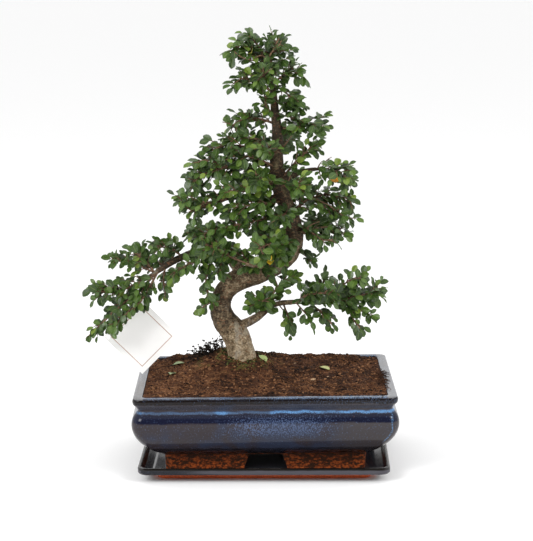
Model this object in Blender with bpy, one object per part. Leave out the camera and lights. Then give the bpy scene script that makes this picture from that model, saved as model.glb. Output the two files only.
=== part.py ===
"""Zelkova bonsai in a glazed rectangular pot that stands in its drip tray.

Metres, +Z up. The origin is the middle of the tray's flat underside, on the table. +X runs along
the pot to the right, and -Y is the side that the tree is shown from. The tables of profiles and
of points of the tree are in millimetres.
"""

import math
import random

import bmesh
import bpy
from mathutils import Matrix, Vector
from mathutils.bvhtree import BVHTree

MM = 0.001
UP = Vector((0.0, 0.0, 1.0))
GAP = 0.0003
SHARP_ANGLE = math.radians(35)

# Pot
POT_LENGTH = 0.292
POT_DEPTH = 0.200
POT_RIM_Z = 0.098
POT_FLOOR_TOP = 0.0335
POT_UNDERSIDE = 0.026
FOOT_INSET = 0.034
FOOT_THICKNESS = 0.012
FRONT_NOTCH = 0.046
SIDE_NOTCH = 0.034
NOTCH_TOP = 0.025
NOTCH_SLANT = 0.003
NOTCH_SHOULDER = 0.004
HOLLOW_CORNER = 0.006
DRAIN_RADIUS = 0.005
DRAIN_X = 0.060
CUT_REACH = 0.015

# Drip tray
TRAY_LENGTH = 0.280
TRAY_DEPTH = 0.193
TRAY_TURN = math.radians(-1.5)

# Soil
SOIL_EDGE_Z = 0.0965
SOIL_FRONT_RISE = 0.0015
MOUND_HEIGHT = 0.021
MOUND_CENTRE = (-0.032, 0.036)
MOUND_SPREAD = (0.052, 0.042)
SOIL_GRAIN = 0.0009

# Trunk where it stands in the soil
ROOT_X = -0.026
ROOT_Y = 0.030
ROOT_RADIUS = 0.0155
ROOT_BOTTOM = 0.088
HOLE_CLEARANCE = 0.0006

# Leaves: the outline gives shares of the length along a blade and of the width out from its middle,
# and the pulls say how strongly a face turns up, to the near side, away from the heart, and at random
LEAF_LENGTH = 0.0162
LEAF_WIDTH = 0.0100
LEAF_THICKNESS = 0.0007
LEAF_OUTLINE = [(0.34, 0.42), (0.78, 0.44)]
LEAF_SPLAY = math.radians(52)
LEAF_PULLS = (0.45, 0.6, 0.3, 0.45)
LEAF_ROOT_SHARE = 0.16
TREE_HEART = Vector((0.012, 0.030, 0.250))
SIDE_DEPTH = 0.014
STEM_LEAF_SPACING = 0.019
STEM_FIRST_LEAF = 0.28
TWIG_FIRST_LEAF = 0.45
LEAVES_PER_TWIG = 3
TIP_SINK = 0.0012

# Twigs, and how far anything keeps from what it doesn't grow from
TWIG_BASE_RADIUS = 0.0009
TWIG_TIP_RADIUS = 0.0006
STEM_TIP_RADIUS = 0.0010
TRIM_STEP = 0.0001
TWIG_FIRST_SHARE = 0.30
TWIG_SHARES = 0.66
GOLDEN_TURN = math.pi * (3.0 - math.sqrt(5.0))
CLEARANCE = 0.00022
TRIES = 9
CELL = 0.016

# Card that leans in the lowest left twigs, one corner on the pot's rim
CARD_SIDE = 0.062
CARD_THICKNESS = 0.0009
CARD_FOOT = (-0.1410, 0.012)
CARD_LEAN = math.radians(3)
CARD_HOLE_RADIUS = 0.002
CARD_HOLE_INSET = 0.0055

FALLEN_LEAVES = [
    ("fallen_leaf_left_back", (-0.100, 0.044), 20),
    ("fallen_leaf_left", (-0.107, 0.010), 75),
    ("fallen_leaf_trunk", (-0.002, 0.024), -50),
    ("fallen_leaf_right", (0.070, 0.030), -35),
]


# Trunk and limbs: points along the middle of the wood with the wood's radius, in millimetres
TRUNK = [
    (-26, 30, 88, 15.5), (-26, 30, 117, 15.5), (-30, 30, 131, 15.8), (-37, 29, 146, 15.2),
    (-46, 28, 158, 14.4), (-50, 28, 169, 13.2), (-49, 28, 181, 11.6), (-43, 29, 194, 12.0),
    (-28, 30, 205, 13.4), (-2, 31, 213, 12.6), (20, 32, 225, 11.6), (34, 33, 242, 10.8),
    (36, 33, 259, 10.2), (31, 33, 280, 9.8), (22, 33, 302, 9.4), (17, 32, 325, 8.8),
    (16, 31, 346, 7.8), (17, 30, 370, 6.6), (14, 29, 402, 4.6), (12, 28, 428, 3.6),
    (9, 27, 450, 2.6),
]
LIMBS = {
    "left": [(-24, 30, 209, 8.0), (-40, 28, 234, 6.4), (-64, 24, 241, 5.2), (-93, 18, 234, 4.4),
             (-112, 12, 225, 3.6), (-131, 8, 213, 2.6)],
    "low_right": [(-34, 29, 148, 6.4), (-16, 28, 156, 4.8), (-2, 24, 166, 4.0), (13, 20, 177, 3.4),
                  (36, 15, 181, 2.9), (64, 12, 180, 2.3)],
    "mid_right": [(20, 33, 315, 4.8), (37, 28, 327, 3.6), (56, 22, 333, 2.5)],
    "upper_left": [(24, 32, 296, 4.8), (-9, 22, 303, 3.4), (-36, 14, 302, 2.5)],
    "second_left": [(16, 31, 344, 4.0), (-6, 26, 354, 2.8), (-27, 22, 360, 2.2)],
    "front": [(8, 31, 217, 5.0), (2, 12, 222, 3.6), (-16, 0, 229, 2.8), (-31, -6, 236, 2.2)],
}

# Sprays: points along each leafy stem, its first radius in millimetres, how far its twigs reach
# sideways, up and down from it in millimetres, and how many twigs the solid has
SPRAYS = {
    "crown_top": ([(9, 27, 450), (11, 27, 463), (17, 26, 478)], 1.8, (26, 14, 14), 3),
    "crown_high_left": ([(10, 27, 446), (-5, 23, 462), (-20, 19, 470)], 1.5, (14, 13, 13), 2),
    "crown_left": ([(12, 28, 420), (-6, 24, 432), (-25, 20, 437)], 1.6, (16, 16, 14), 3),
    "crown_right": ([(11, 28, 430), (26, 26, 440), (39, 24, 446)], 1.6, (15, 15, 16), 3),
    "crown_back": ([(11, 28, 434), (8, 44, 443), (5, 56, 447)], 1.5, (18, 14, 14), 2),
    "crown_front": ([(11, 28, 427), (4, 12, 437), (-1, -1, 441)], 1.5, (18, 15, 15), 2),
    "shoulder_right": ([(13, 29, 408), (27, 27, 410), (40, 26, 404)], 1.5, (13, 12, 11), 2),
    "upper_right": ([(16, 30, 376), (33, 26, 382), (49, 22, 386), (64, 20, 380)], 1.8, (18, 16, 16), 2),
    "second_left_high": ([(15, 30, 384), (-1, 26, 390), (-19, 22, 392), (-34, 19, 384)],
                         1.7, (16, 13, 12), 3),
    "second_left": ([(-27, 22, 360), (-44, 18, 362), (-57, 16, 356)], 1.8, (17, 14, 13), 3),
    "upper_left_high": ([(17, 32, 330), (-10, 25, 333), (-38, 19, 337), (-64, 14, 330), (-80, 12, 321)],
                        2.2, (19, 15, 14), 3),
    "upper_left": ([(-36, 14, 302), (-58, 8, 298), (-84, 4, 288)], 1.9, (19, 17, 17), 3),
    "upper_left_low": ([(33, 33, 272), (8, 17, 278), (-22, 6, 275), (-52, 1, 268), (-77, 0, 262)],
                       2.2, (18, 13, 13), 3),
    "mid_right": ([(56, 22, 333), (76, 18, 333), (97, 14, 323)], 1.8, (21, 17, 16), 3),
    "low_mid_right": ([(31, 33, 280), (48, 29, 295), (72, 27, 303), (100, 24, 298)], 2.2, (20, 14, 15), 3),
    "drooping_right": ([(36, 33, 254), (58, 28, 263), (77, 24, 266), (94, 20, 258)], 1.7, (14, 7, 15), 2),
    "centre_left": ([(-31, -6, 236), (-47, -10, 246), (-68, -14, 255)], 1.8, (18, 13, 17), 3),
    "centre_front": ([(35, 33, 244), (22, 11, 250), (8, -8, 253), (-6, -22, 250)], 2.1, (19, 14, 15), 3),
    "centre_low": ([(14, 32, 221), (20, 12, 236), (10, -2, 241)], 1.7, (19, 12, 14), 2),
    "hanging_left": ([(-56, 25, 240), (-61, 14, 229), (-66, 9, 210), (-63, 8, 192)], 1.5, (9, 9, 9), 2),
    "bulge_right": ([(34, 33, 240), (47, 25, 234), (55, 22, 227)], 1.4, (8, 6, 8), 0),
    "low_centre": ([(-1, 24, 167), (0, 12, 178), (-6, 2, 186)], 1.5, (20, 13, 13), 2),
    "low_right_tip": ([(64, 12, 180), (88, 10, 184), (112, 10, 189), (130, 12, 193)], 1.9, (20, 15, 15), 4),
    "low_right_front": ([(38, 15, 181), (48, 0, 191), (64, -10, 196), (80, -13, 196)], 1.6, (17, 13, 14), 2),
    "low_right_back": ([(46, 14, 181), (57, 32, 190), (76, 44, 195)], 1.6, (18, 14, 13), 2),
    "low_right_hang": ([(22, 18, 179), (27, 10, 166), (32, 7, 150)], 1.3, (8, 6, 6), 1),
    "low_tip_hang": ([(53, 13, 180), (66, 3, 170), (77, 0, 158)], 1.2, (7, 6, 6), 0),
    "left_tip": ([(-131, 8, 213), (-150, 2, 204), (-170, -3, 199), (-190, -5, 200)], 1.9, (19, 15, 12), 3),
    "left_shoulder": ([(-50, 26, 240), (-62, 38, 250), (-78, 44, 255)], 1.6, (17, 12, 12), 2),
    "left_up": ([(-124, 9, 218), (-136, 7, 232), (-145, 5, 243)], 1.4, (16, 13, 13), 1),
    "left_high": ([(-92, 18, 234), (-104, 15, 243), (-121, 11, 249)], 1.6, (16, 11, 10), 3),
    "left_hang": ([(-123, 9, 218), (-141, -3, 199), (-160, -9, 186), (-181, -12, 167), (-196, -13, 152)],
                  1.5, (10, 8, 8), 2),
    "left_hang_front": ([(-120, 10, 220), (-129, -4, 205), (-139, -12, 190), (-157, -15, 174),
                         (-172, -16, 160)], 1.4, (10, 9, 8), 2),
    "left_low": ([(-112, 12, 225), (-114, 3, 211), (-112, -1, 197)], 1.3, (9, 8, 8), 0),
    "left_back": ([(-114, 12, 224), (-121, 30, 226), (-136, 43, 224)], 1.5, (17, 12, 12), 2),
    "back_low": ([(27, 33, 233), (14, 62, 246), (-3, 84, 253)], 2.0, (20, 14, 14), 3),
    "back_right": ([(36, 33, 257), (56, 58, 266), (74, 70, 266)], 1.9, (19, 14, 14), 2),
    "back_mid": ([(26, 33, 292), (34, 60, 303), (42, 82, 306)], 1.9, (20, 15, 14), 2),
    "back_left": ([(19, 33, 311), (-6, 55, 318), (-30, 70, 315)], 1.9, (20, 14, 14), 2),
    "back_high": ([(16, 31, 351), (22, 53, 362), (26, 68, 365)], 1.7, (17, 14, 14), 2),
    "front_high": ([(16, 31, 349), (9, 10, 358), (3, -8, 360)], 1.7, (17, 13, 13), 2),
    "front_mid": ([(19, 33, 312), (34, 6, 318), (42, -8, 319)], 1.8, (18, 12, 13), 2),
}


def remove_scene_objects():
    for obj in list(bpy.data.objects):
        bpy.data.objects.remove(obj, do_unlink=True)


def make_collection(name):
    collection = bpy.data.collections.new(name)
    bpy.context.scene.collection.children.link(collection)
    return collection


def make_material(name, colour, roughness, metallic=0.0):
    material = bpy.data.materials.new(name)
    material.use_nodes = True
    shader = material.node_tree.nodes["Principled BSDF"]
    shader.inputs["Base Color"].default_value = (*colour, 1.0)
    shader.inputs["Roughness"].default_value = roughness
    shader.inputs["Metallic"].default_value = metallic
    return material


def object_from_bmesh(name, bm, collection, material):
    mesh = bpy.data.meshes.new(name)
    bm.to_mesh(mesh)
    bm.free()
    mesh.materials.append(material)
    obj = bpy.data.objects.new(name, mesh)
    collection.objects.link(obj)
    return obj


def make_cutter(obj, cutters):
    for collection in list(obj.users_collection):
        collection.objects.unlink(obj)
    cutters.objects.link(obj)
    obj.hide_render = True
    obj.display_type = "WIRE"
    return obj


def apply_modifiers(obj):
    """Keep the object's evaluated mesh as its own mesh, with the modifiers gone."""
    bpy.context.view_layer.update()
    graph = bpy.context.evaluated_depsgraph_get()
    mesh = bpy.data.meshes.new_from_object(obj.evaluated_get(graph))
    obj.modifiers.clear()
    old = obj.data
    obj.data = mesh
    bpy.data.meshes.remove(old)


def shade_round(obj):
    """Smooth shading that leaves the true edges sharp."""
    obj.data.shade_smooth()
    obj.data.set_sharp_from_angle(angle=SHARP_ANGLE)


def add_boolean(obj, operation, other):
    """A Boolean with an object, or with every object of a collection."""
    modifier = obj.modifiers.new(operation.lower(), "BOOLEAN")
    modifier.operation = operation
    modifier.solver = "EXACT"
    modifier.material_mode = "TRANSFER"
    if isinstance(other, bpy.types.Collection):
        modifier.operand_type = "COLLECTION"
        modifier.collection = other
    else:
        modifier.object = other
    return modifier


# Pot, tray and soil: lofts of rounded rectangles


def rounded_rectangle(half_x, half_y, radius, corner_steps=3, side_steps=(1, 1)):
    """Points round a rounded rectangle, counter-clockwise seen from above."""
    points = []
    corners = [(1, 1, 0.0), (-1, 1, 0.5), (-1, -1, 1.0), (1, -1, 1.5)]
    for index, (sign_x, sign_y, start) in enumerate(corners):
        centre_x = sign_x * (half_x - radius)
        centre_y = sign_y * (half_y - radius)
        for step in range(corner_steps + 1):
            angle = math.pi * (start + 0.5 * step / corner_steps)
            points.append((centre_x + radius * math.cos(angle), centre_y + radius * math.sin(angle)))
        next_x, next_y, next_start = corners[(index + 1) % 4]
        end = (
            next_x * (half_x - radius) + radius * math.cos(math.pi * next_start),
            next_y * (half_y - radius) + radius * math.sin(math.pi * next_start),
        )
        begin = points[-1]
        steps = side_steps[index % 2]
        for step in range(1, steps):
            share = step / steps
            points.append((begin[0] + (end[0] - begin[0]) * share, begin[1] + (end[1] - begin[1]) * share))
    return points


def loft(rings):
    """Skin between rings of equal length, closed by a flat cap on the first and the last ring."""
    bm = bmesh.new()
    rows = [[bm.verts.new(point) for point in ring] for ring in rings]
    count = len(rows[0])
    for low, high in zip(rows, rows[1:]):
        for i in range(count):
            j = (i + 1) % count
            bm.faces.new((low[i], low[j], high[j], high[i]))
    bm.faces.new(list(reversed(rows[0])))
    bm.faces.new(rows[-1])
    bmesh.ops.recalc_face_normals(bm, faces=bm.faces)
    return bm


def level_ring(length, depth, inset, z, radius, side_steps=(1, 1)):
    outline = rounded_rectangle(length / 2 - inset, depth / 2 - inset, radius, side_steps=side_steps)
    return [(x, y, z) for x, y in outline]


# Inset from the pot's full size, height and corner radius, in millimetres
POT_OUTSIDE = [
    (34.0, 7.3, 8), (33.0, 26.0, 9), (29.0, 27.0, 10), (20.0, 32.5, 12), (12.5, 40.5, 13),
    (6.0, 50.0, 13), (0.8, 60.0, 13), (-1.6, 69.0, 13), (-0.4, 75.0, 12), (3.0, 80.0, 11),
    (4.8, 82.5, 10), (4.6, 85.0, 9), (2.2, 88.5, 9), (0.6, 91.0, 9), (0.0, 94.5, 9),
    (0.9, 97.2, 8), (2.4, 98.0, 7),
]
POT_INSIDE = [
    (9.8, 98.0, 5), (11.5, 96.6, 5), (12.0, 62.0, 5), (19.0, 43.0, 6), (27.0, 33.5, 8),
]


def make_pot(parts, cutters):
    """Glazed body with a rolled lip, a groove below it and four unglazed corner feet."""
    glaze = make_material("blue_glaze", (0.012, 0.028, 0.085), 0.16)
    rings = [level_ring(POT_LENGTH, POT_DEPTH, inset * MM, z * MM, radius * MM)
             for inset, z, radius in POT_OUTSIDE + POT_INSIDE]
    pot = object_from_bmesh("pot", loft(rings), parts, glaze)
    shade_round(pot)
    hollow = object_from_bmesh("cut_under_pot", loft([
        level_ring(POT_LENGTH, POT_DEPTH, FOOT_INSET + FOOT_THICKNESS, z, HOLLOW_CORNER)
        for z in (POT_UNDERSIDE - 2 * CUT_REACH, POT_UNDERSIDE)
    ]), cutters, glaze)
    add_boolean(pot, "DIFFERENCE", make_cutter(hollow, cutters))
    foot_bottom = POT_OUTSIDE[0][1] * MM
    for name, width, reach, along_y in (
        ("cut_front_notch", FRONT_NOTCH, POT_DEPTH, True),
        ("cut_side_notch", SIDE_NOTCH, POT_LENGTH, False),
    ):
        low_half = width / 2 + NOTCH_SLANT
        high_half = width / 2 - NOTCH_SLANT
        low_z = foot_bottom - NOTCH_SHOULDER
        high_z = NOTCH_TOP - NOTCH_SHOULDER
        outline = [(-low_half, low_z), (low_half, low_z), (high_half, high_z),
                   (high_half - NOTCH_SHOULDER, NOTCH_TOP), (NOTCH_SHOULDER - high_half, NOTCH_TOP),
                   (-high_half, high_z)]
        ends = (-reach / 2, reach / 2)
        if along_y:
            rings = [[(u, end, z) for u, z in outline] for end in ends]
        else:
            rings = [[(end, u, z) for u, z in outline] for end in ends]
        notch = object_from_bmesh(name, loft(rings), cutters, glaze)
        add_boolean(pot, "DIFFERENCE", make_cutter(notch, cutters))
    for name, x in (("cut_drain_left", -DRAIN_X), ("cut_drain_right", DRAIN_X)):
        bm = bmesh.new()
        bmesh.ops.create_cone(bm, cap_ends=True, segments=12, radius1=DRAIN_RADIUS, radius2=DRAIN_RADIUS,
                              depth=2 * CUT_REACH, matrix=Matrix.Translation((x, 0.0, POT_FLOOR_TOP)))
        drain = object_from_bmesh(name, bm, cutters, glaze)
        add_boolean(pot, "DIFFERENCE", make_cutter(drain, cutters))
    return pot


# Inset from the tray's full size, height and corner radius, in millimetres
TRAY_PROFILE = [
    (20.5, 0.0, 10), (20.0, 3.6, 10), (15.5, 5.2, 10), (1.2, 9.6, 10), (0.0, 11.5, 10), (0.0, 15.6, 10),
    (1.2, 17.0, 9), (3.4, 17.0, 8), (4.6, 16.0, 7), (6.0, 11.0, 7), (14.0, 7.0, 6),
]


def make_tray(parts):
    """Shallow tray whose glazed sides flare out from a narrower unglazed base."""
    glaze = make_material("tray_glaze", (0.014, 0.024, 0.050), 0.2)
    rings = [level_ring(TRAY_LENGTH, TRAY_DEPTH, inset * MM, z * MM, radius * MM)
             for inset, z, radius in TRAY_PROFILE]
    bm = loft(rings)
    bmesh.ops.rotate(bm, verts=bm.verts, matrix=Matrix.Rotation(TRAY_TURN, 3, "Z"))
    tray = object_from_bmesh("drip_tray", bm, parts, glaze)
    shade_round(tray)
    return tray


def soil_height(x, y):
    """The soil mounds up round the foot of the trunk."""
    dx = (x - MOUND_CENTRE[0]) / MOUND_SPREAD[0]
    dy = (y - MOUND_CENTRE[1]) / MOUND_SPREAD[1]
    front_rise = SOIL_FRONT_RISE * max(0.0, -y / (POT_DEPTH / 2))
    return SOIL_EDGE_Z + front_rise + MOUND_HEIGHT * math.exp(-dx * dx - dy * dy)


def make_soil(parts):
    """Root ball that fills the pot, with a plain round hole for the foot of the trunk."""
    peat = make_material("peat_soil", (0.10, 0.035, 0.015), 0.95)
    side_steps = (6, 4)
    rings = [level_ring(POT_LENGTH, POT_DEPTH, inset * MM + GAP, z * MM, radius * MM, side_steps)
             for inset, z, radius in reversed(POT_INSIDE)]
    floor_ring = [(x, y, z + GAP) for x, y, z in rings[0]]
    rings = [floor_ring] + rings[1:3]
    edge = level_ring(POT_LENGTH, POT_DEPTH, POT_INSIDE[2][0] * MM + GAP, SOIL_EDGE_Z, 0.005, side_steps)
    rings.append([(x, y, SOIL_EDGE_Z - 0.002) for x, y, _ in edge])
    hole_radius = ROOT_RADIUS + HOLE_CLEARANCE
    first_angle = math.atan2(edge[0][1] - ROOT_Y, edge[0][0] - ROOT_X)
    grain = random.Random(11)
    for share in (0.0, 0.22, 0.48, 0.74, 1.0):
        ring = []
        for index, (x, y, _) in enumerate(edge):
            angle = first_angle + 2 * math.pi * index / len(edge)
            hole_x = ROOT_X + hole_radius * math.cos(angle)
            hole_y = ROOT_Y + hole_radius * math.sin(angle)
            px = x + (hole_x - x) * share
            py = y + (hole_y - y) * share
            ring.append((px, py, soil_height(px, py) + grain.uniform(-SOIL_GRAIN, SOIL_GRAIN)))
        rings.append(ring)
    rings.append([(x, y, ROOT_BOTTOM - GAP) for x, y, _ in rings[-1]])
    soil = object_from_bmesh("soil", loft(rings), parts, peat)
    shade_round(soil)
    return soil


# Wood: curves with a radius at each point


def smooth_path(points, steps):
    """Points and radii read from a Catmull-Rom curve, steps for each span."""
    rows = [Vector(point) for point in points]
    path = []
    for i in range(len(rows) - 1):
        before = rows[max(i - 1, 0)]
        start, end = rows[i], rows[i + 1]
        after = rows[min(i + 2, len(rows) - 1)]
        for step in range(steps):
            t = step / steps
            path.append(0.5 * (2 * start + (end - before) * t
                               + (2 * before - 5 * start + 4 * end - after) * t * t
                               + (3 * start - before - 3 * end + after) * t * t * t))
    path.append(rows[-1])
    return path


def wood_path(points, steps):
    """Rows of x, y, z and radius in millimetres, as a list of points and a list of radii in metres."""
    rows = smooth_path(points, steps)
    return [Vector(row[:3]) * MM for row in rows], [row[3] * MM for row in rows]


def make_wood(name, points, radii, resolution, collection, material):
    """A closed mesh from a curve that has the wood's radius at each point."""
    curve = bpy.data.curves.new(name, "CURVE")
    curve.dimensions = "3D"
    curve.bevel_depth = 1.0
    curve.bevel_resolution = resolution
    curve.use_fill_caps = True
    spline = curve.splines.new("POLY")
    spline.points.add(len(points) - 1)
    for point, place, radius in zip(spline.points, points, radii):
        point.co = (*place, 1.0)
        point.radius = radius
    guide = bpy.data.objects.new(name + "_curve", curve)
    collection.objects.link(guide)
    bpy.context.view_layer.update()
    graph = bpy.context.evaluated_depsgraph_get()
    mesh = bpy.data.meshes.new_from_object(guide.evaluated_get(graph))
    bpy.data.objects.remove(guide, do_unlink=True)
    bpy.data.curves.remove(curve)
    bm = bmesh.new()
    bm.from_mesh(mesh)
    bmesh.ops.remove_doubles(bm, verts=bm.verts, dist=1e-6)
    bmesh.ops.recalc_face_normals(bm, faces=bm.faces)
    bpy.data.meshes.remove(mesh)
    return object_from_bmesh(name, bm, collection, material)


def keep_largest_shell(obj):
    """Fill hollows that a union sealed and drop loose scraps: both are shells of their own."""
    bm = bmesh.new()
    bm.from_mesh(obj.data)
    unseen = set(bm.verts)
    shells = []
    while unseen:
        stack = [unseen.pop()]
        shell = [stack[0]]
        while stack:
            for edge in stack.pop().link_edges:
                for vert in edge.verts:
                    if vert in unseen:
                        unseen.remove(vert)
                        stack.append(vert)
                        shell.append(vert)
        shells.append(shell)
    shells.sort(key=len)
    scraps = [vert for shell in shells[:-1] for vert in shell]
    bmesh.ops.delete(bm, geom=scraps, context="VERTS")
    bm.to_mesh(obj.data)
    bm.free()


def union_all(base, joined):
    """One Boolean union of an object with a collection, applied, and the collection emptied."""
    add_boolean(base, "UNION", joined)
    apply_modifiers(base)
    for obj in list(joined.objects):
        bpy.data.objects.remove(obj, do_unlink=True)
    keep_largest_shell(base)


def make_trunk(parts, joined):
    """Trunk and main limbs, grown as one piece of wood."""
    bark = make_material("bark", (0.20, 0.15, 0.10), 0.85)
    points, radii = wood_path(TRUNK, 2)
    trunk = make_wood("trunk", points, radii, 2, parts, bark)
    for name, rows in LIMBS.items():
        points, radii = wood_path(rows, 2)
        make_wood("limb_" + name, points, radii, 1, joined, bark)
    union_all(trunk, joined)
    shade_round(trunk)
    return trunk


# Room: what already stands somewhere, so that nothing grows through it


def tube_shape(start, end, start_radius, end_radius):
    """Corners and faces of a six-sided length of wood."""
    axis = (end - start).normalized()
    side = axis.orthogonal().normalized()
    other = axis.cross(side)
    corners = []
    for centre, radius in ((start, start_radius), (end, end_radius)):
        for i in range(6):
            angle = math.pi * i / 3
            corners.append(centre + (side * math.cos(angle) + other * math.sin(angle)) * radius)
    faces = [(i, (i + 1) % 6, 6 + (i + 1) % 6, 6 + i) for i in range(6)]
    faces += [(5, 4, 3, 2, 1, 0), (6, 7, 8, 9, 10, 11)]
    return corners, faces


def blade_shape(matrix, thickness, grow, start):
    """Corners and faces of a six-sided blade of even thickness."""
    length = LEAF_LENGTH + grow
    width = LEAF_WIDTH + 2 * grow
    outline = [Vector((0.0, start * length, 0.0))]
    outline += [Vector((out * width, along * length, 0.0)) for along, out in LEAF_OUTLINE]
    outline.append(Vector((0.0, length, 0.0)))
    outline += [Vector((-out * width, along * length, 0.0)) for along, out in reversed(LEAF_OUTLINE)]
    half = Vector((0.0, 0.0, thickness / 2))
    corners = [matrix @ (point + half) for point in outline] + [matrix @ (point - half) for point in outline]
    faces = [(0, 1, 2, 3, 4, 5), (11, 10, 9, 8, 7, 6)]
    faces += [(i, 6 + i, 6 + (i + 1) % 6, (i + 1) % 6) for i in range(6)]
    return corners, faces


class Room:
    """Solids sorted into cells of space, each with an owner and the piece of it that it is."""

    def __init__(self):
        self.cells = {}

    def cells_of(self, corners):
        low = [math.floor(min(c[k] for c in corners) / CELL) for k in range(3)]
        high = [math.floor(max(c[k] for c in corners) / CELL) for k in range(3)]
        return [(i, j, k) for i in range(low[0], high[0] + 1)
                for j in range(low[1], high[1] + 1) for k in range(low[2], high[2] + 1)]

    def add(self, shape, owner, piece):
        entry = (BVHTree.FromPolygons(*shape), owner, piece)
        for cell in self.cells_of(shape[0]):
            self.cells.setdefault(cell, []).append(entry)

    def is_free(self, shape, ignored):
        """True where the shape crosses nothing but what the ignored function lets it cross."""
        tree = BVHTree.FromPolygons(*shape)
        met = {}
        for cell in self.cells_of(shape[0]):
            for entry in self.cells.get(cell, ()):
                met[id(entry)] = entry
        return not any(not ignored(owner, piece) and tree.overlap(other)
                       for other, owner, piece in met.values())


def add_trunk_to_room(trunk, room):
    """The trunk and its limbs, grown by the clearance."""
    corners = [vert.co + vert.normal * CLEARANCE for vert in trunk.data.vertices]
    room.add((corners, [tuple(polygon.vertices) for polygon in trunk.data.polygons]), "trunk", "trunk")


def add_stem_to_room(room, points, radii, owner):
    for start, end, low, high in zip(points, points[1:], radii, radii[1:]):
        room.add(tube_shape(start, end, low + CLEARANCE, high + CLEARANCE), owner, "stem")


# Growth of the sprays: the stems are drawn by hand, the twigs and leaves follow a seeded rule


def along_path(points, share):
    """The point at a share of a path's spans, and the direction there."""
    place = share * (len(points) - 1)
    index = min(int(place), len(points) - 2)
    start, end = points[index], points[index + 1]
    return start.lerp(end, place - index), (end - start).normalized()


def near_wood(point, trunk_tree):
    """True inside the trunk or its limbs, or less than a gap away from them."""
    place, normal, _, distance = trunk_tree.find_nearest(point)
    return distance < GAP or (point - place).dot(normal) < 0.0


def twig_path(stem, reach, index, count, draw):
    """A twig that leaves its stem sideways, at the golden turn from the twig before it."""
    share = TWIG_FIRST_SHARE + TWIG_SHARES * (index + 0.5) / count
    base, along = along_path(stem, share)
    side = along.cross(UP)
    side = side.normalized() if side.length > 0.3 else Vector((1.0, 0.0, 0.0))
    lift = side.cross(along).normalized()
    turn = GOLDEN_TURN * index + draw.uniform(-0.7, 0.7)
    wide, high, low = reach
    rise = high if math.sin(turn) > 0 else low
    offset = side * wide * math.cos(turn) + lift * rise * math.sin(turn)
    offset = offset * MM * draw.uniform(0.80, 1.05) + along * draw.uniform(0.004, 0.011)
    return [base, base + offset]


def leaf_matrix(base, along, sign, draw, loose):
    """A leaf set on its twig at base: it splays to one side and turns its face to the light."""
    upward, sideward, outward, random_pull = LEAF_PULLS
    near_side = Vector((0.0, max(-1.0, min(1.0, (base.y - TREE_HEART.y) / SIDE_DEPTH)), 0.0))
    scatter = Vector((draw.uniform(-1, 1), draw.uniform(-1, 1), draw.uniform(-1, 1)))
    face = (UP * upward + near_side * sideward + (base - TREE_HEART).normalized() * outward
            + scatter * (random_pull + 0.1 * loose))
    side = along.cross(face).normalized() * sign
    splay = LEAF_SPLAY + draw.uniform(-0.3, 0.3)
    length = along * math.cos(splay) + side * math.sin(splay) if sign else along + scatter * 0.25
    length = (length - UP * draw.uniform(0.0, 0.25)).normalized()
    face = (face - length * face.dot(length)).normalized()
    across = length.cross(face)
    size = draw.uniform(0.82, 1.08)
    columns = Matrix((across * size, length * size, face)).transposed().to_4x4()
    return Matrix.Translation(base) @ columns


def grow_stem(rows, first_radius, trunk_tree):
    """The stem, trimmed so that it starts just clear of the wood that it grows from."""
    path = [Vector(row) * MM for row in rows]
    count = len(path) - 1
    radii = [first_radius * MM + (STEM_TIP_RADIUS - first_radius * MM) * i / count for i in range(count + 1)]
    index = 0
    point, along = along_path(path, 0.0)
    while True:
        side = along.orthogonal().normalized()
        other = along.cross(side)
        angles = [math.pi * i / 4 for i in range(8)]
        ring = [point + (side * math.cos(a) + other * math.sin(a)) * radii[index] for a in angles]
        if not any(near_wood(corner, trunk_tree) for corner in ring + [point]):
            break
        point = point + along * TRIM_STEP
        if (point - path[index]).length >= (path[index + 1] - path[index]).length:
            index += 1
            point = path[index].copy()
            along = (path[index + 1] - path[index]).normalized()
    rest = [p for p in path[index + 1:] if (p - point).length > 2 * STEM_TIP_RADIUS]
    return [point] + rest, radii[len(path) - len(rest) - 1:]


def grow_sprays(room, trunk_tree):
    """Stems first, then twigs, then leaves, so that no leaf stands where wood comes later."""
    sprays = {}
    for name, (rows, first_radius, _, _) in SPRAYS.items():
        stem, radii = grow_stem(rows, first_radius, trunk_tree)
        sprays[name] = {"stem": stem, "radii": radii, "twigs": [], "leaves": []}
        add_stem_to_room(room, stem, radii, name)
    for number, (name, (_, _, reach, count)) in enumerate(SPRAYS.items()):
        for index in range(count):
            draw = random.Random(number * 1000 + index)
            for _ in range(TRIES):
                path = twig_path(sprays[name]["stem"], reach, index, count, draw)
                shapes = [tube_shape(a, b, TWIG_BASE_RADIUS + CLEARANCE, TWIG_BASE_RADIUS + CLEARANCE)
                          for a, b in zip(path, path[1:])]
                if all(room.is_free(shape, lambda owner, _: owner == name) for shape in shapes):
                    sprays[name]["twigs"].append(path)
                    for shape in shapes:
                        room.add(shape, name, index)
                    break
    for number, (name, spray) in enumerate(sprays.items()):
        stem = spray["stem"]
        length = sum((b - a).length for a, b in zip(stem, stem[1:]))
        rows = [(path, LEAVES_PER_TWIG, TWIG_FIRST_LEAF) for path in spray["twigs"]]
        rows.append((stem, max(LEAVES_PER_TWIG, round(length / STEM_LEAF_SPACING)), STEM_FIRST_LEAF))
        for row_number, (path, count, first) in enumerate(rows):
            for place in range(count):
                share = first + (1.0 - first) * place / (count - 1)
                seed = (number * 100 + row_number) * 10 + place
                grow_leaf(room, trunk_tree, spray, name, path, share, (1, -1)[place % 2], seed)
    return sprays


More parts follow.
